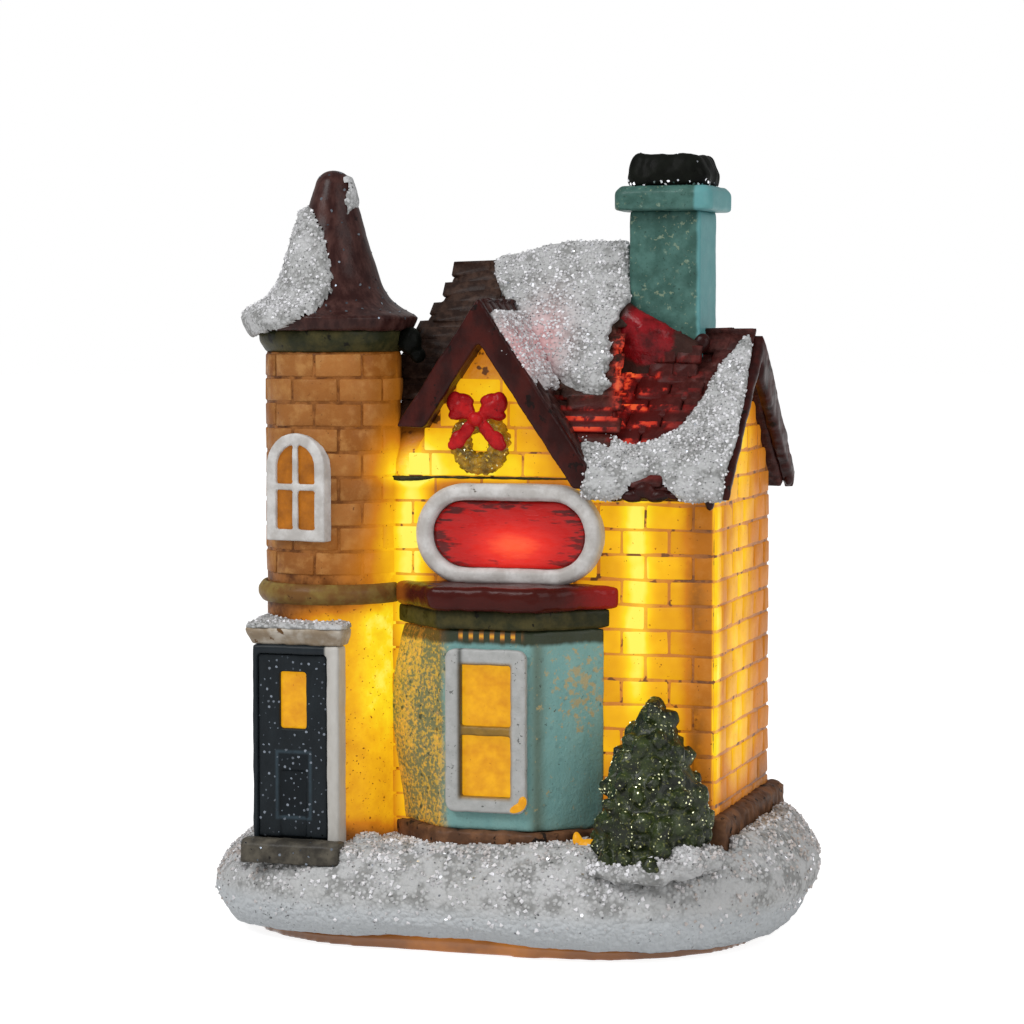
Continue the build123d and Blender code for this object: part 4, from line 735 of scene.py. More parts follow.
def settle(piece):
    """Turns a piece's modifiers into a plain, smooth-shaded mesh."""
    view = bpy.context.evaluated_depsgraph_get()
    mesh = bpy.data.meshes.new_from_object(piece.evaluated_get(view), depsgraph=view)
    piece.modifiers.clear()
    piece.data = mesh
    mesh.shade_smooth()
    return piece


def triangles(piece):
    return sum(len(p.vertices) - 2 for p in piece.data.polygons)


print(len(bpy.data.node_groups), "trees to run")

# %% [markdown]
# ## Castings
#
# Real castings have no sharp edges: the mould rounds them and paint fills the corners. A voxel remesh
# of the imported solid, a few rounds of smoothing and the skin tree's lumps give that softness and keep
# the solid's size and place. Remeshing also joins pieces that the caster poured as one.

# %% How a casting is made and dressed
WELD = 1e-6


def poured(name, form):
    """A new piece from a bmesh, which is let go."""
    mesh = bpy.data.meshes.new(name)
    form.to_mesh(mesh)
    form.free()
    return new_piece(name, mesh)


def skinned(piece, paint, seed, lump, lump_size, grain=0.0, grain_size=1.0, swell=0.0):
    """Gives a piece the skin tree's lumps; sizes in millimetres."""
    return grow(piece, SKIN, seed=seed, lump=lump * MM, lump_size=lump_size * MM, grain=grain * MM,
                grain_size=grain_size * MM, swell=swell * MM, paint=PAINTS[paint])


def softened(piece, voxel, soften):
    """Adds a voxel remesh and rounds of smoothing; the skin tree settles them."""
    remesh = piece.modifiers.new("voxels", "REMESH")
    remesh.mode = "VOXEL"
    remesh.voxel_size = voxel * MM
    piece.modifiers.new("soften", "SMOOTH").iterations = soften
    return piece


def casting(name, node, paint, voxel, soften=4, lump=0.08, lump_size=3.0, swell=0.0, grain=0.0, grain_size=0.7,
            limit=60000):
    """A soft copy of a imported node; sizes in millimetres, limit in triangles."""
    form = bmesh.new()
    form.from_mesh(NODES[node].data)
    bmesh.ops.remove_doubles(form, verts=form.verts, dist=WELD)
    piece = softened(poured(name, form), voxel, soften)
    skinned(piece, paint, float(len(name)), lump, lump_size, grain, grain_size, swell + voxel * 0.1)
    if triangles(piece) > limit:
        piece.modifiers.new("thin", "DECIMATE").ratio = limit / triangles(piece)
        settle(piece)
    return piece


def fix(piece, slot, *nodes):
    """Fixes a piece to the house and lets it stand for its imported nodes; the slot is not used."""
    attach(piece, HOUSE)
    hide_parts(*nodes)
    return piece


CASTINGS = {
    # name: (node, paint, slot, voxel, soften, lump, lump_size, swell)
    "wall_core": ("house_shell", "mortar", "brick", 0.4, 2, 0.05, 3, 0.04),
    "turret_core": ("turret_drum", "plaster", "brick", 0.4, 4, 0.12),
    "resin_rim": ("base_foot", "rim", "amber_resin", 0.45, 4, 0.25, 7),
    "footing": ("stone_footing", "stone", "stone_brown", 0.28, 4, 0.45, 1.4),
    "bay_stone": ("bay_plinth", "stone", "stone_brown", 0.28, 4, 0.4, 1.4),
    "string_course": ("turret_string_course", "olive", "olive", 0.24, 4, 0.1),
    "hat_cornice": ("turret_cornice", "moss", "green_trim", 0.26, 4, 0.1),
    "hat": ("turret_roof", "maroon", "maroon", 0.32, 4, 0.22, 3.5),
    "window_frame": ("turret_window_frame", "white", "white_trim", 0.15, 4, 0.06, 1.5),
    "porch": ("door_porch", "porch", "white_trim", 0.22, 4, 0.15),
    "door": ("door_leaf", "door", "navy", 0.17, 3, 0.06, 1.5),
    "door_glass": ("door_pane", "pane_bright", "amber_pane", 0.15, 4, 0.05),
    "lintel": ("door_lintel", "lintel", "white_trim", 0.22, 14, 0.3, 2),
    "step": ("door_step", "slate", "navy", 0.22, 4, 0.2, 2),
    "bay": ("bay_window", "bay", "teal", 0.32, 6, 0.18, 3.5),
    "bay_frame": ("bay_window_frame", "frame", "white_trim", 0.17, 4, 0.12, 1.8),
    "bay_moulding": ("bay_cornice", "moss", "green_trim", 0.24, 16, 0.2),
    "canopy": ("bay_canopy", "crimson", "maroon", 0.24, 40, 0.3, 3, 0.2),
    "sign_ring": ("sign_frame", "white", "white_trim", 0.2, 6, 0.12),
    "sign_board": ("sign_plate", "sign", "sign_red", 0.2, 4, 0.12, 1.5),
    "roof_high": ("high_roof", "shingle_high", "maroon", 0.36, 4, 0.15),
    "roof_gable": ("gable_roof", "maroon", "maroon", 0.34, 4, 0.15),
    "roof_wing": ("wing_roof", "shingle_wing", "maroon", 0.34, 4, 0.2),
    "gable_boards": ("gable_bargeboards", "board", "maroon", 0.26, 8, 0.2),
    "wing_boards": ("wing_bargeboards", "board", "maroon", 0.26, 8, 0.35),
    "saddle": ("chimney_saddle", "lacquer", "maroon", 0.24, 10, 0.3, 2),
    "stack": ("chimney_stack", "teal", "teal", 0.28, 4, 0.14),
    "stack_cap": ("chimney_cap", "teal", "teal", 0.25, 6, 0.12),
    "flue": ("chimney_flue", "soot", "black", 0.24, 40, 0.5, 2.5, 0.25),
}
CAST = {}
for name, (node, paint, slot, *sizes) in CASTINGS.items():
    CAST[name] = fix(casting(name, node, paint, *sizes), slot, node)
print(len(CAST), "castings,", sum(triangles(p) for p in CAST.values()), "triangles")

# %% [markdown]
# Some castings were pressed out of shape by hand. A function moves the points of a mesh: it gets all of
# them as one table of millimetres, so each rule is written once with arrays instead of a loop.

# %% Bend points by a rule
WING_SLOPE, HIGH_SLOPE, GABLE_SLOPE = 0.949, 1.4636, 1.4826


def pressed(piece, rule):
    """Moves every point; rule gets and returns x, y and z as arrays of millimetres."""
    flat = np.empty(len(piece.data.vertices) * 3, np.float32)
    piece.data.vertices.foreach_get("co", flat)
    x, y, z = (flat.reshape(-1, 3).T / MM).astype(np.float64)
    moved = np.stack(np.broadcast_arrays(*rule(x, y, z)), 1) * MM
    piece.data.vertices.foreach_set("co", moved.astype(np.float32).ravel())
    piece.data.update()
    return piece


def soft_step(value, low, high):
    part = np.clip((value - low) / (high - low), 0, 1)
    return part * part * (3 - 2 * part)


print("slopes", WING_SLOPE, HIGH_SLOPE, GABLE_SLOPE)

# %% The rule of each pressed casting


def bay_belly(x, y, z):
    """The bay's left facet bulges like a barrel."""
    low, high = low_mm("bay_window"), high_mm("bay_window")
    rise = np.clip((z - low.z) / (high.z - low.z), 0, 1)
    push = 1.5 * np.sin(np.pi * rise ** 1.3) * soft_step(x, low.x + 7.0, low.x + 1.5)
    return x - push * 0.8, y - push * 0.5, z


def front_lift(x, y):
    """How far the bare rim, and the snow's edge over it, rise towards the middle of the front."""
    return 0.9 * np.exp(-((x + 1) / 17) ** 2) * soft_step(y, 0, -8)


def rim_crown(x, y, z):
    """The bare rim stands higher under the front."""
    return x, y, z + soft_step(z, 0.4, 1.0) * front_lift(x, y)


def door_up(x, y, z):
    """The glass and the panel round it sit higher in the door."""
    low, high, top = low_mm("door_pane").z, high_mm("door_pane").z, high_mm("door_leaf").z
    return x, y, z + 1.3 * soft_step(z, low - 4, low - 0.5) * soft_step(z, top, high + 0.1)


def lintel_cyma(x, y, z):
    """The lintel's moulding draws in towards its foot."""
    low, high = low_mm("door_lintel"), high_mm("door_lintel")
    share, middle = soft_step(z, high.z, low.z), (low.x + high.x) / 2
    return middle + (x - middle) * (1 - 0.06 * share), y + 0.9 * share * soft_step(y, low.y + 3, low.y), z


def saddle_puff(x, y, z):
    """Resin bulges out at the chimney's foot."""
    return x, y - 1.1 * np.exp(-((x - 16) / 2.6) ** 2 - ((z - 68) / 2.8) ** 2), z


def board_taper(x, y, z):
    """The back verge board gets shallower towards its foot."""
    deep = np.maximum(0, high_mm("wing_roof").z + 0.7 - np.abs(y) * WING_SLOPE - z)
    return x, y, z + deep * 0.42 * np.clip(y / 17, 0, 1)


def flue_taper(x, y, z):
    """The flue narrows towards its top."""
    low, high = low_mm("chimney_flue"), high_mm("chimney_flue")
    middle, share = (low + high) / 2, 1 - 0.10 * soft_step(z, low.z + 1, high.z)
    return middle.x + (x - middle.x) * share, middle.y + (y - middle.y) * share, z


def crouched(x, y, z):
    """The high roof's left end is lower and shorter."""
    share = soft_step(z, 64, 74) * soft_step(x, 3, -7)
    return x + 1.8 * share, y, z - 0.9 * share


def end_wall(x, y, z):
    """The wall under that end stays behind the roof's edge."""
    x, y, z = crouched(x, y, z)
    return x + 1.1 * soft_step(x, -6.5, -9.5) * soft_step(z, 63, 68), y, z


RULES = {"roof_high": crouched, "wall_core": end_wall, "bay": bay_belly, "resin_rim": rim_crown, "door": door_up,
         "door_glass": door_up, "lintel": lintel_cyma, "saddle": saddle_puff, "wing_boards": board_taper,
         "flue": flue_taper}
for name, rule in RULES.items():
    pressed(CAST[name], rule)
print("pressed", *RULES)

# %% [markdown]
# ## Bricks
#
# Every brick on the real house was carved in the master, so no two match. Here a brick is one small
# pillow of a few dozen faces. Python works out where the courses run on each wall, because the outline
# of a wall is a rule, and the node tree lays a pillow on every spot, turns it a little and wears it.

# %% A brick and how units are laid
BRICK = Vector((5.4, 0.0, 2.765))
JOINT = 0.3
SHORTEST = 1.2


def unit_piece(name, shape):
    """A small mesh that a node tree repeats."""
    form = bmesh.new()
    shape(form)
    bmesh.ops.recalc_face_normals(form, faces=form.faces)
    return poured(name, form)


def bridge(form, rings):
    """Skins rings of points in millimetres that all have the same count, and closes both ends."""
    rings = [[form.verts.new(Vector(point) * MM) for point in ring] for ring in rings]
    for low, high in zip(rings, rings[1:]):
        for i in range(len(low)):
            j = (i + 1) % len(low)
            form.faces.new((low[i], low[j], high[j], high[i]))
    form.faces.new(rings[0][::-1])
    form.faces.new(rings[-1])


def brick_form(form):
    """A pillow brick: outer face towards -y, back half sunk in the wall, cut across so that it can bend."""
    wide, tall = (BRICK.x - JOINT) / 2, (BRICK.z - JOINT) / 2
    profile = ((0.3, -1.0), (-0.08, -1.0), (-0.17, -0.88), (-0.17, 0.88), (-0.08, 1.0), (0.3, 1.0))
    cuts = ((-1, 0.4, 0.92), (-0.95, 1, 1), (-0.35, 1, 1), (0.35, 1, 1), (0.95, 1, 1), (1, 0.4, 0.92))
    bridge(form, [[(wide * x, y * deep, tall * z * high) for y, z in profile] for x, deep, high in cuts])


def laid(name, spots, unit, paint, seed, crooked=0.03, wear=0.07, wear_size=1.6):
    """One mesh of units; a spot is (place in mm, turn, size)."""
    mesh = bpy.data.meshes.new(name)
    mesh.from_pydata([Vector(place) * MM for place, turn, size in spots], [], [])
    for label, column in (("facing", 1), ("size", 2)):
        layer = mesh.attributes.new(label, "FLOAT_VECTOR", "POINT")
        layer.data.foreach_set("vector", np.array([s[column] for s in spots], np.float32).ravel())
    return grow(new_piece(name, mesh), COURSES, seed=seed, unit=unit, crooked=crooked, wear=wear * MM,
                wear_size=wear_size * MM, paint=PAINTS[paint])


def course_spots(reach, top, start=0):
    """Runs of brick from the seat of the walls to top; reach(height) gives a course's two ends."""
    seat = low_mm("house_shell").z
    for course in range(start, int((top - seat) / BRICK.z)):
        height = seat + (course + 0.5) * BRICK.z
        first, last = reach(height)
        head = first - (course % 2) * BRICK.x / 2
        while head < last:
            left, right = max(head, first), min(head + BRICK.x, last)
            if right - left > SHORTEST:
                yield (left + right) / 2, height, (right - left - JOINT) / (BRICK.x - JOINT)
            head += BRICK.x


def wall_spots(corner, turn, reach, top):
    """Spots on a flat wall whose course starts at corner and runs along the turned x axis."""
    along = Matrix.Rotation(turn, 3, "Z") @ Vector((1, 0, 0))
    for run, height, share in course_spots(reach, top):
        place = Vector((*corner, 0)) + along * run
        yield (place.x, place.y, height), (0, 0, turn), (share, 1, 1)


brick_unit = unit_piece("brick_unit", brick_form)
print("brick unit", triangles(brick_unit), "triangles")

# %% [markdown]
# The walls are flat, so their courses only need two ends at each height: the roofs shorten them. The
# turret's bricks are laid flat as well and then bent round the drum, which keeps their joints even.

# %% Lay the four walls
SHELL_LOW, SHELL_HIGH = low_mm("house_shell"), high_mm("house_shell")
WIDE, DEEP = SHELL_HIGH.x - SHELL_LOW.x, SHELL_HIGH.y - SHELL_LOW.y
WING_JOINT = low_mm("wing_roof").x
EAVES, GABLE_X = 52.0, 0.3
GABLE_TOP, WING_TOP, HIGH_TOP = (high_mm(roof).z - cover for roof, cover in (
    ("gable_roof", 3.2), ("wing_roof", 2.6), ("high_roof", 3.0)))
LEAN_FOOT, LEAN = 65.1, math.tan(math.radians(15))


def front_reach(height):
    if height < EAVES:
        return 0, WIDE
    half = (GABLE_TOP - height) / GABLE_SLOPE
    middle = GABLE_X - SHELL_LOW.x
    return max(0, middle - half), min(WING_JOINT - SHELL_LOW.x, middle + half)


def side_reach(top, slope):
    """A side wall's courses, which get shorter under a roof's two slopes."""
    def reach(height):
        half = min(DEEP / 2, (top - height) / slope)
        return DEEP / 2 - half, DEEP / 2 + half
    return reach


def leaned(x, y, z):
    """The top of the left end leans inwards, like the roof over it."""
    return end_wall(x + np.where(x < SHELL_LOW.x + 1, np.maximum(z - LEAN_FOOT, 0) * LEAN, 0), y, z)


spots = [*wall_spots((SHELL_LOW.x, SHELL_LOW.y), 0.0, front_reach, GABLE_TOP - 1.5),
         *wall_spots((SHELL_HIGH.x, SHELL_LOW.y), math.pi / 2, side_reach(WING_TOP, WING_SLOPE), WING_TOP - 1),
         *wall_spots((SHELL_HIGH.x, SHELL_HIGH.y), math.pi, lambda height: (0, WIDE), EAVES),
         *wall_spots((SHELL_LOW.x, SHELL_HIGH.y), -math.pi / 2, side_reach(HIGH_TOP, HIGH_SLOPE), HIGH_TOP - 1)]
wall_bricks = fix(pressed(laid("wall_bricks", spots, brick_unit, "brick", 11), leaned), "brick", "house_shell")
print("wall bricks", triangles(wall_bricks), "triangles")

# %% Lay the turret
TURRET_RADIUS = high_mm("turret_drum").x / 2 - low_mm("turret_drum").x / 2
TURRET = (low_mm("turret_drum") + high_mm("turret_drum")) / 2
ROUND = 2 * math.pi * TURRET_RADIUS
STRING_TOP = high_mm("turret_string_course").z
storey = int((STRING_TOP - SHELL_LOW.z) / BRICK.z)
turns = course_spots(lambda height: (-ROUND / 2, ROUND / 2), high_mm("turret_drum").z, storey)
spots = [((run, 0, height), (0, 0, 0), (share, 1, 1)) for run, height, share in turns
         if height >= STRING_TOP and not ROUND * 0.29 < run < ROUND * 0.35]


def wrap(x, y, z):
    """Bends a flat wall round the turret; its front line, x = 0, stays in front."""
    angle, out = x / TURRET_RADIUS, TURRET_RADIUS - y
    return TURRET.x + out * np.sin(angle), TURRET.y - out * np.cos(angle), z


turret_bricks = pressed(laid("turret_bricks", spots, brick_unit, "brick", 12), wrap)
fix(turret_bricks, "brick", "turret_drum")
print("turret bricks", triangles(turret_bricks), "triangles")

# %% [markdown]
# ## Shingles
#
# The roofs carry rows of thick tabs that overlap like scales. A row is a line at one height of a slope,
# so the same course tree lays the tabs, with each one tipped to the roof's pitch. Tabs that another
# roof, the turret or the chimney would swallow are left out by a test on their place.

# %% A shingle tab and how a slope is covered
TAB = Vector((2.5, 2.7, 0.55))
TAB_LIFT = 0.25
TAB_JUT = 0.15
COURSE = 1.9


def tab_form(form):
    """A tab with a rounded lower edge at y = 0 that runs up the slope along y."""
    outline = ((-0.5, 1), (-0.5, 0.14), (-0.47, 0.04), (-0.4, 0), (0.4, 0), (0.47, 0.04), (0.5, 0.14), (0.5, 1))
    bridge(form, [[(x * TAB.x * s, (0.5 + (y - 0.5) * s) * TAB.y, h * TAB.z) for x, y in outline]
                  for h, s in ((0.0, 1.0), (0.6, 1.0), (1.0, 0.86))])


def slope_spots(ridge, slope, run, rows, turn, reach, keep, wide=1.0):
    """Rows of tabs from the ridge line down; ridge is (x, y, z) of its middle, turn points a slope."""
    pitch = math.atan(slope)
    length = run / math.cos(pitch) / rows / COURSE
    down = Matrix.Rotation(turn, 3, "Z") @ Vector((0, -1, 0))
    along = Matrix.Rotation(turn, 3, "Z") @ Vector((1, 0, 0))
    for row in range(1, rows + 1):
        away = run * row / rows
        height = ridge[2] - away * math.tan(pitch) + TAB_LIFT / math.cos(pitch)
        first, last = reach(height)
        count = max(1, round((last - first) / TAB.x / wide))
        width = (last - first) / count
        for k in range(count + row % 2):
            middle = first + (k + 0.5 - 0.5 * (row % 2)) * width
            middle = min(max(middle, first + width * 0.35), last - width * 0.35)
            place = Vector(ridge) + down * away + along * middle
            if keep(place.x, place.y, height):
                jut = TAB_JUT * noise.noise(place * 3.1)
                spot = (place.x - down.x * jut, place.y - down.y * jut, height)
                yield spot, (pitch, 0, turn), (width / TAB.x * 0.97, length, min(1, length))


tab_unit = unit_piece("tab_unit", tab_form)
print("tab unit", triangles(tab_unit), "triangles")

# %% Cover the three roofs
HIGH_RIDGE = (0, 0, high_mm("high_roof").z)
WING_RIDGE = (0, 0, high_mm("wing_roof").z)
GABLE_RIDGE = (GABLE_X, 0, high_mm("gable_roof").z)
STACK_LOW, STACK_HIGH = low_mm("chimney_saddle"), high_mm("chimney_saddle")
FLARE = math.tan(math.radians(7))
HALF_DEPTH, LEFT_FOOT, TURRET_CLEAR = 17.1, 58.4, 9.4


def clear(x, y):
    """True outside the turret and the chimney."""
    stack = STACK_LOW.x < x < STACK_HIGH.x and STACK_LOW.y < y < STACK_HIGH.y
    return not stack and math.hypot(x - TURRET.x, y - TURRET.y) > TURRET_CLEAR


def high_keep(x, y, z):
    slope = GABLE_RIDGE[2] + 0.6 - abs(x - GABLE_X) * GABLE_SLOPE
    over_gable = y > 0 or z > max(slope, LEFT_FOOT if x < GABLE_X else 0)
    over_wing = x < WING_JOINT or z > WING_RIDGE[2] + 0.6 - abs(y) * WING_SLOPE
    return clear(x, y) and over_gable and over_wing and not (y < -13.4 and x < 12.7)


def gable_keep(x, y, z):
    foot = LEFT_FOOT if x < GABLE_X else EAVES
    return clear(x, y) and z > foot and y < max(-12.8, 0.6 - (HIGH_RIDGE[2] - z) / HIGH_SLOPE)


def wing_keep(x, y, z):
    return clear(x, y) and not (y < -13 and x < 12.9)


def high_reach(height):
    return -11.6 + max(0, height - LEAN_FOOT) * LEAN, 12.2 + (HIGH_RIDGE[2] - height) * FLARE


def both_slopes(ridge, slope, rows, reach, keep, wide):
    """Tabs on the front and the back of a roof; the back is the front's reach the other way round."""
    def behind(height):
        return [-end for end in reversed(reach(height))]
    return [*slope_spots(ridge, slope, HALF_DEPTH, rows, 0.0, reach, keep, wide),
            *slope_spots(ridge, slope, HALF_DEPTH, rows, math.pi, behind, keep, wide)]


high_tabs = both_slopes(HIGH_RIDGE, HIGH_SLOPE, 22, high_reach, high_keep, 2.8)
wing_tabs = both_slopes(WING_RIDGE, WING_SLOPE, 9, lambda height: (11.6, 27.2), wing_keep, 1.5)
wing_tabs += [((x, -4.9 + (z - 63) * 0.12, z), (1.25, 0, 0), (1.15, 0.8, 1))
              for z, last in ((63.0, 22.4), (64.6, 22.2), (66.2, 20.8))
              for x in np.arange(17.4 + z % 1.3, last, 2.8)]
gable_tabs = [
    *slope_spots(GABLE_RIDGE, GABLE_SLOPE, 9.2, 8, -math.pi / 2, lambda height: (2, 15.4), gable_keep),
    *slope_spots(GABLE_RIDGE, GABLE_SLOPE, 12.2, 11, math.pi / 2, lambda height: (-15.4, -2), gable_keep)]
for name, tabs, node, paint in (("high_shingles", high_tabs, "high_roof", "shingle_high"),
                                ("gable_shingles", gable_tabs, "gable_roof", "maroon"),
                                ("wing_shingles", wing_tabs, "wing_roof", "shingle_wing")):
    made = fix(laid(name, tabs, tab_unit, paint, 20, 0.05, 0.1, 1.2), "maroon", node)
    if node == "high_roof":
        pressed(made, crouched)
    print(name, len(tabs), "tabs,", triangles(made), "triangles")

# %% [markdown]
# Half-round rolls close the joint along both ridges. They are units too, laid in a line by the course
# tree, and the high ridge's rolls sink with the roof's left end.

# %% Rolls along the ridges


def roll_form(form):
    """A half-round ridge roll that lies along x, a little wider at one end."""
    arc = [math.pi * k / 6 for k in range(-1, 8)]
    bridge(form, [[(x, r * math.cos(a), r * math.sin(a)) for a in arc]
                  for x, r in ((-1.4, 0.62), (-1.3, 0.8), (1.3, 0.68), (1.4, 0.5))])


roll_unit = unit_piece("roll_unit", roll_form)
spots = [((x, 0, height), (0, 0, 0), (1, 1, 1))
         for first, last, height in ((13.6, 27.2, WING_RIDGE[2] - 0.15), (-7.0, 12, HIGH_RIDGE[2] - 0.6))
         for x in np.arange(first, last, 2.5)]
rolls = pressed(laid("ridge_rolls", spots, roll_unit, "maroon", 21, 0.04, 0.12, 1.0), crouched)
fix(rolls, "maroon", "high_roof", "wing_roof")
print("ridge rolls", triangles(rolls), "triangles")

# %% [markdown]
# ## Snow
#
# The snow is a soft casting with a bed of grain, and then sand: a few thousand crumbs of about half a
# millimetre, and glitter. Crumbs lie thickly where snow gathers, on top and at the edges, so each bed
# carries an attribute called strewn that says how many to lay. One tree serves crumbs and flakes.

# %% Snow beds
SNOW = {
    # name: (node, voxel, other casting options)
    "base_snow": ("snow_base", 0.36, dict(soften=5, lump=0.3, lump_size=5, grain=0.22, grain_size=0.9, limit=110000)),
    "lintel_snow": ("door_lintel_snow", 0.2, dict(soften=12, lump=0.35, lump_size=2.2, grain=0.12)),
    "roof_snow_high": ("roof_snow_upper", 0.28, dict(soften=6, lump=0.25, grain=0.16, swell=0.08)),
    "roof_snow_low": ("roof_snow_lower", 0.28, dict(soften=6, lump=0.25, grain=0.16, swell=0.08)),
}
for name, (node, voxel, options) in SNOW.items():
    CAST[name] = fix(casting(name, node, "snow", voxel, **options), "snow", node)


def base_lip(x, y, z):
    """The base's snow ends higher over the middle of the front, where the rim shows."""
    return x, y, z + front_lift(x, y) * soft_step(z, 4.5, 1.6)


def tucked(x, y, z):
    """The base's right-hand end bulges above and is drawn in towards the foot."""
    end = soft_step(x, 18, 32)
    return x - end * (1.7 * soft_step(z, 7, 3) - 0.5 * soft_step(z, 7, 9)), y, np.maximum(z, 0)


def thin_end(x, y, z):
    """The patch on the high roof thins out towards its left end and has a ragged right edge."""
    waves = 1.0 + 0.3 * np.sin(z * 1.7 + np.sin(y * 1.3) * 1.4) + 0.25 * np.sin(z * 4.3)
    ragged = waves * soft_step(x, 11.5, 14) * soft_step(z, 71, 68)
    ragged = ragged - 1.1 * soft_step(x, 9, 13.5) * soft_step(z, 70, 72)
    return x - ragged, y, z - 1.6 * soft_step(x, 7.0, -2.5) * soft_step(z, 68, 75)


def wide_arm(x, y, z):
    """The lower patch: a broader arm up the verge, a deeper dip and a fuller left end."""
    arm = 1.5 * soft_step(20.5 + (z - 55) * 0.45 - x, -0.8, 0.8) * soft_step(z, 55.5, 58.5)
    left = soft_step(x, 14.5, 11.5)
    lift = (1.4 * left - 1.3 * np.exp(-((x - 17.2) / 2.2) ** 2)) * soft_step(z, 53, 55.5)
    return x - arm - 0.8 * left, y + lift / WING_SLOPE, z + lift


def sunk(x, y, z):
    """A thin cover on the lintel, thinner at its front."""
    low, high = low_mm("door_lintel_snow"), high_mm("door_lintel_snow")
    return x, y, low.z - 0.1 + (z - low.z) * (0.45 + 0.35 * soft_step(y, low.y, high.y))


for name, rule in (("lintel_snow", sunk), ("base_snow", base_lip), ("base_snow", tucked), ("resin_rim", tucked),
                   ("roof_snow_low", wide_arm), ("roof_snow_high", thin_end)):
    pressed(CAST[name], rule)
print(len(SNOW), "snow beds,", sum(triangles(CAST[n]) for n in SNOW), "triangles")

# %% [markdown]
# Snow on the hat has a free outline, so it is a coat: a copy of the casting's skin, pushed out where the
# snow lies and pushed under the surface where it ends. Only the raised part is kept.

# %% Coats of snow
EDGE_SINK = 0.25


def coated(name, bed, where, thick):
    """A coat of snow on part of a casting; where(place in mm) is 1 on it and 0 off it."""
    coat = bmesh.new()
    coat.from_mesh(bed.data)
    share = [where(v.co / MM) for v in coat.verts]
    for vert, part in zip(coat.verts, share):
        vert.co += vert.normal * ((part * (1 + EDGE_SINK) - EDGE_SINK) * thick * MM)
    bmesh.ops.delete(coat, geom=[v for v, part in zip(coat.verts, share) if part <= 0], context="VERTS")
    return skinned(poured(name, coat), "snow", 5.0, 0.1, 2.2, 0.1, 0.7)


def least(*shares):
    """The smallest of the shares, held between 0 and 1."""
    return max(0.0, min(1.0, *shares))


AZIMUTH = math.radians(17)
VIEW = Vector((math.cos(AZIMUTH), math.sin(AZIMUTH), 0))
EDGE_HEIGHTS = (68.2, 68.8, 70.4, 71, 72.5, 74, 76.3, 79.4, 82)
EDGE_SIDES = (-9.4, -4.6, -1.5, -0.8, 0.2, 0.4, 0, -0.7, -2.2)


def hat_side(place):
    """How far a point of the hat lies to the right of its tip, as the photograph shows it."""
    return (place - TURRET).dot(VIEW)


def hat_where(place):
    edge = np.interp(place.z, EDGE_HEIGHTS, EDGE_SIDES) + 0.35 * noise.noise(place * 0.9)
    if place.y > TURRET.y:
        edge = min(edge, -2.5)
    return least((edge - hat_side(place)) / 0.9, (82.5 - place.z) / 0.9)


def tip_where(place):
    right = hat_side(place) - 1.2 - 0.7 * noise.noise(place * 0.6)
    return least(right / 0.5, (place.z - 80.8 - right) / 0.6)


def eave_where(place):
    """Over the wing's eave, with a wavy lower edge and a bare stretch where the maroon drips."""
    edge = 50.0 + 0.5 * noise.noise(place * 0.5) + math.exp(-((place.x - 19.5) / 2.4) ** 2) * 2.2
    return least((place.z - edge) / 0.5, (-13.8 - place.y) / 0.6, (place.x - 11.2) / 0.6)


def gable_where(place):
    """On the gable roof's right slope, down to a ragged edge."""
    top = GABLE_RIDGE[2] - (place.x - GABLE_X) * GABLE_SLOPE
    ragged = place.z - 61.6 + noise.noise(place * 0.6)
    return least((place.x - 0.8) / 0.5, ragged / 0.6, (place.z - top + 0.9) / 0.3)


for name, bed, where, thick, node in (("gable_snow", "roof_gable", gable_where, 1.2, "gable_roof"),
                                      ("hat_snow", "hat", hat_where, 0.95, "turret_roof_snow"),
                                      ("tip_snow", "hat", tip_where, 0.3, "turret_roof_snow"),
                                      ("eave_snow", "roof_wing", eave_where, 0.8, "wing_roof")):
    CAST[name] = fix(coated(name, CAST[bed], where, thick), "snow", node)
    print(name, triangles(CAST[name]), "triangles")

# %% [markdown]
# Snow sand is crushed grit and the glitter is cut film, so a crumb is a crooked double pyramid and a
# flake a thin plate. A share function per bed says where they lie, and the scatter tree does the rest.

# %% A crumb, a flake and how they are strewn


def crumb_form(form):
    """A broken grain of sand: an uneven double pyramid."""
    tips = ((0.1, 0, 0.5), (0.5, 0.1, 0.05), (0.05, 0.46, -0.1), (-0.48, 0.02, 0.1), (-0.05, -0.5, 0),
            (0, 0.05, -0.4))
    top, *belt, foot = [form.verts.new(Vector(tip) * MM) for tip in tips]
    for one, two in zip(belt, belt[1:] + belt[:1]):
        form.faces.new((top, one, two))
        form.faces.new((foot, two, one))


def flake_form(form):
    """A thin six-sided plate that stands a little off its bed."""
    corners = [math.pi / 3 * k for k in range(6)]
    bridge(form, [[(math.cos(a) * 0.5, math.sin(a) * 0.5, h) for a in corners] for h in (-0.04, 0.08)])


def strew(name, bed, unit, paint, lean, share, spacing, sizes, seed):
    """Scatters units over a bed; share(place in mm, normal) says how thickly, 0 to 1."""
    source = new_piece(name, bed.data.copy())
    thick = [share(v.co / MM, v.normal) for v in bed.data.vertices]
    layer = source.data.attributes.new("strewn", "FLOAT", "POINT")
    layer.data.foreach_set("value", np.array(thick, np.float32))
    grow(source, SCATTER, seed=seed, unit=unit, spacing=spacing * MM, density=2.0 / (spacing * MM) ** 2,
         smallest=sizes[0], largest=sizes[1], lean=(lean, lean, 1.0), paint=PAINTS[paint])
    source.data.shade_flat()
    return source


crumb_unit = unit_piece("crumb_unit", crumb_form)
flake_unit = unit_piece("flake_unit", flake_form)
print("crumb", triangles(crumb_unit), "and flake", triangles(flake_unit), "triangles")

# %% Strew the snow and the dark paint


def on_top(place, normal):
    """Thick on what faces up, thin on the sides, nothing underneath or inside."""
    return least(normal.z * 1.2 + 0.12) if place.z > 6 else 0.0


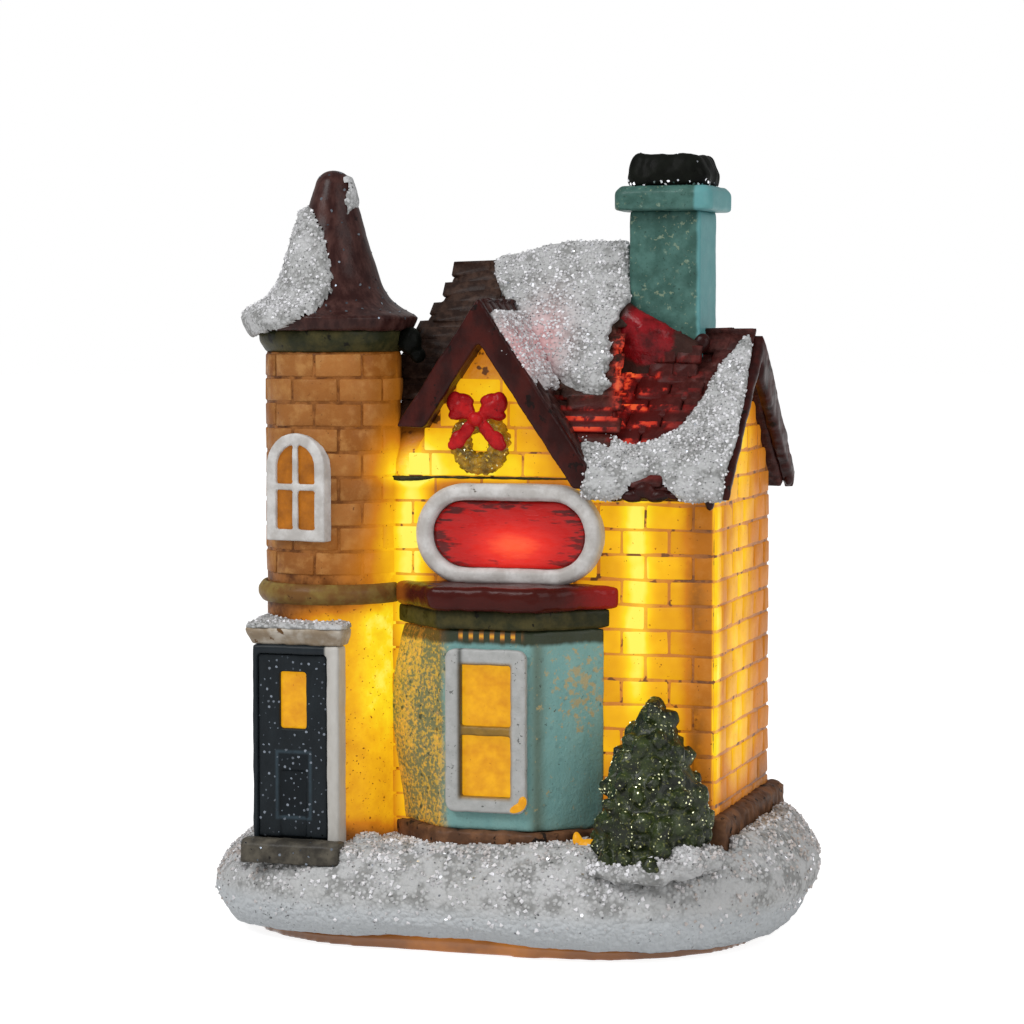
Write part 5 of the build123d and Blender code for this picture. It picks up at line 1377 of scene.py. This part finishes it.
def base_share(place, normal):
    inside = SHELL_LOW.x < place.x < SHELL_HIGH.x and SHELL_LOW.y < place.y < SHELL_HIGH.y
    drum = math.hypot(place.x - TURRET.x, place.y - TURRET.y) < TURRET_RADIUS - 0.5
    side = 0.22 if place.z > 3.5 else 0.0
    drift = 0.6 + 0.5 * noise.noise(place * 0.35)
    return 0.0 if inside or drum else max(side, min(1.0, normal.z * 1.1)) * drift


def door_share(place, normal):
    return 0.8 if normal.y < -0.7 else 0


def step_share(place, normal):
    return 0.5 if normal.y < -0.5 or normal.z > 0.6 else 0


def flue_share(place, normal):
    return 0.9 if place.z < low_mm("chimney_flue").z + 0.5 else 0.04


def even(share):
    return lambda place, normal: share


CRUMB, SILVER = (crumb_unit, "crumb", 1.0), (flake_unit, "silver", 0.6)
BROAD, FINE, FLASH = (0.22, 0.6), (0.2, 0.5), (0.25, 0.45)
STREWN = (
    # name, bed, (unit, paint, lean), share, spacing, sizes, seed, slot, node
    ("base_crumbs", "base_snow", CRUMB, base_share, 0.34, (0.25, 0.7), 31, "snow", "snow_base"),
    ("base_glitter", "base_snow", SILVER, base_share, 1.2, FLASH, 32, "snow", "snow_base"),
    ("hat_crumbs", "hat_snow", CRUMB, on_top, 0.36, (0.22, 0.55), 33, "snow", "turret_roof_snow"),
    ("hat_glitter", "hat", (flake_unit, "pewter", 0.5), on_top, 1.2, (0.2, 0.4), 34, "snow", "turret_roof"),
    ("high_crumbs", "roof_snow_high", CRUMB, on_top, 0.34, BROAD, 35, "snow", "roof_snow_upper"),
    ("low_crumbs", "roof_snow_low", CRUMB, on_top, 0.34, BROAD, 36, "snow", "roof_snow_lower"),
    ("lintel_crumbs", "lintel_snow", CRUMB, on_top, 0.45, FINE, 37, "snow", "door_lintel_snow"),
    ("eave_crumbs", "eave_snow", CRUMB, even(0.8), 0.4, FINE, 40, "snow", "wing_roof"),
    ("gable_crumbs", "gable_snow", CRUMB, even(0.9), 0.36, BROAD, 47, "snow", "gable_roof"),
    ("roof_glitter", "roof_snow_low", SILVER, on_top, 1.3, FLASH, 45, "snow", "roof_snow_lower"),
    ("high_glitter", "roof_snow_high", SILVER, on_top, 1.3, FLASH, 46, "snow", "roof_snow_upper"),
    ("door_glitter", "door", (flake_unit, "pewter", 0.3), door_share, 0.6, (0.14, 0.36), 38, "navy", "door_leaf"),
    ("step_glitter", "step", (flake_unit, "pewter", 0.4), step_share, 0.8, (0.14, 0.34), 49, "navy", "door_step"),
    ("flue_glitter", "flue", (flake_unit, "silver", 0.5), flue_share, 0.5, (0.2, 0.4), 39, "black", "chimney_flue"),
)
for name, bed, kind, share, spacing, sizes, seed, slot, node in STREWN:
    made = fix(strew(name, CAST[bed], *kind, share, spacing, sizes, seed), slot, node)
    print(name, triangles(made), "triangles")

# %% [markdown]
# ## Fir tree, wreath and bow
#
# The tree and the wreath are cast lumps of leaves. Leaf clumps are strewn over a softened copy of the
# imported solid, everything is remeshed into one skin, as a mould would join it, and gold-green glitter
# goes on top. The bow is modelled from puffy egg shapes, the way a modeller builds it from clay.

# %% Leaf clumps grown together


def clump_form(form):
    bmesh.ops.create_icosphere(form, subdivisions=1, radius=0.5 * MM)
    bmesh.ops.scale(form, vec=(1.0, 0.7, 0.85), verts=form.verts)


def grown_together(name, pieces, voxel, soften, paint, lump=0.05):
    """Joins pieces into one skin and removes them."""
    joined = bmesh.new()
    for piece in pieces:
        joined.from_mesh(piece.data)
        bpy.data.objects.remove(piece)
    return skinned(softened(poured(name, joined), voxel, soften), paint, 1.0, lump, 1.0)


def above_foot(place, normal):
    return 1.0 if place.z > 10.8 else 0.0


def in_patches(place, normal):
    return 0.95 if noise.noise(place * 0.4) > 0 else 0.3


clump_unit = unit_piece("clump_unit", clump_form)
core = casting("tree_core", "fir_tree", "fir", 0.4, soften=8, lump=0.7, swell=-0.1)
leaves = strew("tree_leaves", core, clump_unit, "fir", 0.8, above_foot, 1.8, (2.2, 3.8), 41)
CAST["tree"] = fix(grown_together("fir", [core, leaves], 0.2, 5, "fir"), "fir_green", "fir_tree")
core = casting("wreath_core", "wreath", "holly", 0.16, lump=0.1)
leaves = strew("wreath_leaves", core, clump_unit, "holly", 1.4, even(1.0), 0.4, (0.5, 1.2), 42)
CAST["wreath"] = fix(grown_together("wreath_leaf", [core, leaves], 0.1, 1, "holly", 0.03), "fir_green", "wreath")
for bed, spacing, seed, node in (("tree", 0.42, 43, "fir_tree"), ("wreath", 0.6, 44, "wreath")):
    glitter = strew(bed + "_glitter", CAST[bed], flake_unit, "gold", 0.9, in_patches, spacing, (0.1, 0.26), seed)
    fix(glitter, "fir_green", node)
    print(glitter.name, triangles(glitter), "triangles on", triangles(CAST[bed]))

# %% [markdown]
# The bow has two puffed loops and two tails, each the other's mirror image. Eggs set close together
# and remeshed into one skin look pressed from clay, where a bent strip would look like ribbon.

# %% The bow


def clay(name, eggs):
    """Egg shapes in one piece; an egg is (centre, radii, turn about the y axis in degrees)."""
    def shape(form):
        for centre, radii, turn in eggs:
            spin, size = Matrix.Rotation(math.radians(turn), 4, "Y"), Matrix.Diagonal((*radii, 1))
            place = Matrix.Scale(MM, 4) @ Matrix.Translation(centre) @ spin @ size @ Matrix.Scale(1 / MM, 4)
            bmesh.ops.create_icosphere(form, subdivisions=3, radius=MM, matrix=place)
    return unit_piece(name, shape)


BOW_LOW, BOW_HIGH = low_mm("wreath_bow"), high_mm("wreath_bow")
knot = Vector(((BOW_LOW.x + BOW_HIGH.x) / 2, BOW_LOW.y + 0.9, BOW_LOW.z * 0.42 + BOW_HIGH.z * 0.58))
HALF_BOW = (((-1.7, -0.6, 1.2), (1.6, 0.8, 1.1), 30), ((-2.6, -0.6, 1.9), (0.95, 0.7, 1.2), 12),
            ((-1.4, -0.7, 2.2), (1.1, 0.6, 0.65), 20), ((-2.3, -0.6, 0.5), (1.1, 0.7, 0.65), -10),
            ((-1.2, -0.7, -1.3), (0.75, 0.5, 1.6), 35), ((-2.2, -0.6, -2.3), (0.95, 0.45, 1.15), 30),
            ((-2.8, -0.6, -2.9), (0.65, 0.4, 0.6), 0))
eggs = [(knot + Vector((0, -1.0, 0)), (0.8, 0.8, 0.85), 0)]
for (x, y, z), radii, turn in HALF_BOW:
    eggs += [(knot + Vector((x, y, z)), radii, turn), (knot + Vector((-x, y, z)), radii, -turn)]
bow = fix(grown_together("bow", [clay("bow_clay", eggs)], 0.12, 3, "bow", 0.16), "bow_red", "wreath_bow")
print("bow", triangles(bow), "triangles")

# %% [markdown]
# Paint ran and resin was spilt where the castings meet: drips on the eave and amber chips at the bay's
# foot. A black blob sits on the cornice where it meets the main roof. The same eggs serve, and so they do for snow
# heaped against the walls.

# %% Drips, a ledge and chips where the castings meet
DRIPS = {
    # name: (paint, slot, node, eggs)
    "eave_drips": ("board", "maroon", "wing_roof", (
        ((15.8, -16.4, 50.3), (1.2, 0.7, 0.55), 0), ((17.7, -16.9, 50.5), (1.4, 0.8, 0.75), 10),
        ((19.3, -17.1, 51.1), (1.2, 0.8, 1.0), 0), ((20.8, -17.0, 50.5), (1.4, 0.8, 0.7), -10),
        ((22.7, -16.7, 50.6), (1.2, 0.7, 0.55), 0), ((26.4, -16.4, 50.1), (0.55, 0.7, 1.1), 0))),
    "cornice_blob": ("soot", "black", "turret_cornice", (
        ((-9.0, -13.0, 67.2), (1.4, 1.2, 1.6), 0), ((-8.2, -12.6, 65.6), (0.9, 0.9, 0.9), 0))),
    "flashing": ("board", "maroon", "chimney_saddle", (
        ((22.2, -2.9, 66.9), (1.0, 0.8, 1.2), 20), ((21.2, -3.4, 66.0), (1.0, 0.8, 0.8), 0))),
    "verge_knob": ("board", "maroon", "wing_bargeboards", (
        ((28.1, 16.5, 51.3), (0.7, 1.3, 1.4), 0), ((28.1, 15.8, 52.6), (0.6, 1.0, 1.5), 0))),
    "gable_ledge": ("moss", "green_trim", "house_shell", (
        ((0.4, -13.6, 52.0), (12.4, 0.36, 0.17), 0), ((-8.4, -13.6, 51.8), (2.6, 0.45, 0.3), -3))),
    "amber_chips": ("pane_bright", "amber_resin", "bay_plinth", (
        ((5.9, -20.6, 16.2), (1.0, 0.35, 0.5), -25), ((6.5, -20.6, 16.9), (0.5, 0.35, 0.7), 10),
        ((13.9, -20.3, 11.8), (1.4, 0.9, 1.4), 20), ((12.7, -20.2, 12.7), (0.55, 0.6, 1.2), -12),
        ((14.9, -20.1, 12.6), (0.5, 0.6, 1.1), 15))),
}
for name, (paint, slot, node, eggs) in DRIPS.items():
    made = fix(grown_together(name, [clay(name + "_clay", eggs)], 0.15, 3, paint, 0.12), slot, node)
    print(name, triangles(made), "triangles")

# %% Snow heaped against the walls
HEAPS = (
    # centre x, y and z, then the three radii
    (-11.8, -19.6, 11.4, 1.8, 1.4, 1.0), (-8.6, -21.3, 11.2, 2.0, 1.2, 0.9), (-4.6, -21.8, 11.2, 1.6, 1.0, 0.9),
    (-1.0, -21.8, 11.0, 2.1, 1.1, 0.8), (3.0, -21.7, 11.2, 1.8, 1.0, 0.9), (6.6, -21.5, 11.0, 1.7, 1.1, 1.0),
    (9.8, -20.6, 11.0, 1.5, 1.2, 0.9), (16.2, -23.2, 10.4, 2.0, 1.5, 0.9), (19.0, -24.2, 10.2, 2.6, 1.5, 1.0),
    (22.2, -23.8, 10.6, 2.4, 1.6, 1.6), (24.9, -22.0, 11.4, 2.6, 2.0, 2.0), (26.8, -19.4, 11.4, 1.9, 2.0, 1.6),
    (28.9, -13.2, 11.8, 1.2, 1.5, 1.4), (29.2, -8.6, 11.6, 1.0, 1.6, 1.2), (29.3, -3.6, 11.6, 1.0, 2.0, 1.1),
    (29.3, 3.0, 11.6, 1.0, 2.0, 1.1), (29.0, 9.4, 11.7, 1.0, 1.6, 1.2), (-26.6, -19.4, 9.0, 1.4, 1.8, 0.8),
    (-13.0, -22.8, 10.2, 1.2, 1.1, 1.0),
)


def heap_share(place, normal):
    return max(0.0, normal.z + 0.4)


heap_clay = clay("heap_clay", [(heap[:3], heap[3:], 0) for heap in HEAPS])
heaps = fix(grown_together("snow_heaps", [heap_clay], 0.28, 6, "snow", 0.5), "snow", "snow_base")
crumbs = fix(strew("heap_crumbs", heaps, *CRUMB, heap_share, 0.36, (0.25, 0.75), 48), "snow", "snow_base")
print("heaps", triangles(heaps), "triangles,", triangles(crumbs), "on their crumbs")

# %% [markdown]
# ## The light unit
#
# Under the base sits a round unit with a board, an LED, a coin cell, a switch and a bayonet cover. The
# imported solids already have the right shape, so they stay and only get finishes: moulded plastic with
# a fine spark texture, solder mask, nickel and brass with turning marks, and the milky LED lens.

# %% Finishes of the light unit


def moulded(name, colour, light, rough):
    """Injection-moulded plastic with a spark-eroded texture."""
    paint = Paint(name)
    spark, haze = paint.noise(0.18, 2, 91), paint.noise(6.0, 3, 92)
    return paint.dressed((spark, 0.03), base_color=haze.mix(colour, light), roughness=rough + spark * 0.2)


def bare_metal(name, colour, worn):
    """Stamped metal with fine brushing and a few dull spots."""
    paint = Paint(name, metallic=1)
    brushing, spots = paint.noise(0.3, 3, 93, (0.1, 2, 1)), paint.noise(1.5, 3, 94)
    return paint.dressed((brushing, 0.01), base_color=spots.step(0.45, 0.7).mix(colour, worn),
                         roughness=0.22 + brushing * 0.2)


def lens_paint():
    paint = Paint("led_lens", lit=1, roughness=0.2)
    cloud = paint.noise(1.0, 2, 95)
    return paint.dressed(base_color=cloud.mix((232, 214, 150), (244, 236, 200)),
                         emission_color=cloud.mix((0.55, 0.42, 0.16, 1), (0.7, 0.58, 0.26, 1)))


ivory = moulded("unit_plastic", (206, 200, 188), (222, 218, 208), 0.4)
jet = moulded("switch_plastic", (26, 26, 28), (40, 40, 42), 0.42)
brass = bare_metal("contact_brass", (206, 170, 92), (150, 118, 56))
KEPT = dict(
    turret_window_pane=PAINTS["pane_dull"], bay_window_pane=PAINTS["pane_bright"], light_unit_case=ivory,
    light_unit_lid=ivory, battery_cover=ivory, switch_body=jet, switch_slider=jet, negative_contact=brass,
    positive_contact=brass, circuit_board=moulded("board_mask", (22, 82, 48), (30, 102, 62), 0.3), led=lens_paint(),
    coin_cell=bare_metal("cell_steel", (196, 196, 194), (150, 150, 148)))
for node, paint in KEPT.items():
    NODES[node].material_slots[0].material = paint
for unit in (brick_unit, tab_unit, roll_unit, crumb_unit, flake_unit, clump_unit):
    bpy.data.objects.remove(unit)
print(len(KEPT), "packed solids kept")

# %% [markdown]
# ## Floor, light and camera
#
# The house stands on a plain pale floor in soft light. Camera rays see the floor and the world as white
# paper, while the object only gets a plain level of light, so its colours render as they are mixed. The
# camera has the photograph's angle: a little above the base and turned towards the right-hand wall.

# %% Stage
WHITE = (1, 1, 1, 1)
FLOOR_SIDES, FLOOR_REACH, FLOOR_LEVEL = 72, 3.0, -0.02 * MM


def floor_paint():
    """White paper for the camera, plain grey for the light that falls on the house."""
    material = bpy.data.materials.new("floor_paper")
    material.use_nodes = True
    graph = Graph(material.node_tree)
    seen = graph.node("ShaderNodeLightPath")
    watched = seen.larger(seen.other("Is Glossy Ray")).larger(seen.other("Is Transmission Ray"))
    plain = graph.node("ShaderNodeBsdfDiffuse", None, {"Color": (0.8, 0.8, 0.8, 1)})
    paper = graph.node("ShaderNodeBsdfDiffuse", None, {"Color": (0.4, 0.4, 0.4, 1)})
    white = graph.node("ShaderNodeEmission", None, {"Color": WHITE, "Strength": 0.88})
    bright = graph.node("ShaderNodeAddShader", None, {0: paper, 1: white})
    surface = graph.node("ShaderNodeMixShader", None, {0: watched, 1: plain, 2: bright})
    graph.node("ShaderNodeOutputMaterial", None, {"Surface": surface})
    return material


def stage_floor():
    """A round floor with a hole under the foot, through which the underside can be looked at from below."""
    hole = high_mm("base_foot") * MM * 0.93
    points = [(math.cos(turn) * wide, math.sin(turn) * deep, FLOOR_LEVEL)
              for wide, deep in ((hole.x, hole.y), (FLOOR_REACH, FLOOR_REACH))
              for turn in (2 * math.pi * i / FLOOR_SIDES for i in range(FLOOR_SIDES))]
    following = [(i + 1) % FLOOR_SIDES for i in range(FLOOR_SIDES)]
    mesh = bpy.data.meshes.new("floor")
    mesh.from_pydata(points, [], [(i, FLOOR_SIDES + i, FLOOR_SIDES + j, j) for i, j in enumerate(following)])
    mesh.materials.append(floor_paint())
    floor = new_piece("floor", mesh)


def stage_world():
    world = bpy.data.worlds.new("soft_room")
    world.use_nodes = True
    bpy.context.scene.world = world
    graph = Graph(world.node_tree)
    seen = graph.node("ShaderNodeLightPath")
    watched = seen.larger(seen.other("Is Transmission Ray"))
    plain, white = (graph.node("ShaderNodeBackground", None, {"Color": WHITE, "Strength": level})
                    for level in (0.42, 1.0))
    surface = graph.node("ShaderNodeMixShader", None, {0: watched, 1: plain, 2: white})
    graph.node("ShaderNodeOutputWorld", None, {"Surface": surface})


def looking(name, data, place, aim):
    """A lamp or camera that looks from its place at a point."""
    viewer = new_piece(name, data)
    viewer.location = place
    viewer.rotation_euler = (aim - Vector(place)).to_track_quat("-Z", "Y").to_euler()
    return viewer


AIM = Vector((-1.0, 0.0, 47.3)) * MM
ELEVATION, DISTANCE = math.radians(3.75), 0.360
stage_floor()
stage_world()
for name, place, size, watts in (("key", (-0.28, -0.42, 0.5), 0.3, 2.6), ("fill", (0.5, -0.3, 0.3), 0.4, 1.3)):
    lamp = bpy.data.lights.new(name, "AREA")
    lamp.size, lamp.energy = size, watts
    looking(name, lamp, place, AIM)
back = Vector((math.sin(AZIMUTH) * math.cos(ELEVATION), -math.cos(AZIMUTH) * math.cos(ELEVATION),
               math.sin(ELEVATION)))
lens = bpy.data.cameras.new("camera")
lens.sensor_width, lens.lens = 36, 109.23
bpy.context.scene.camera = looking("camera", lens, AIM + back * DISTANCE, AIM)
bpy.context.scene.view_settings.view_transform = "Standard"

# %% Bring the scene up to date
bpy.context.view_layer.update()
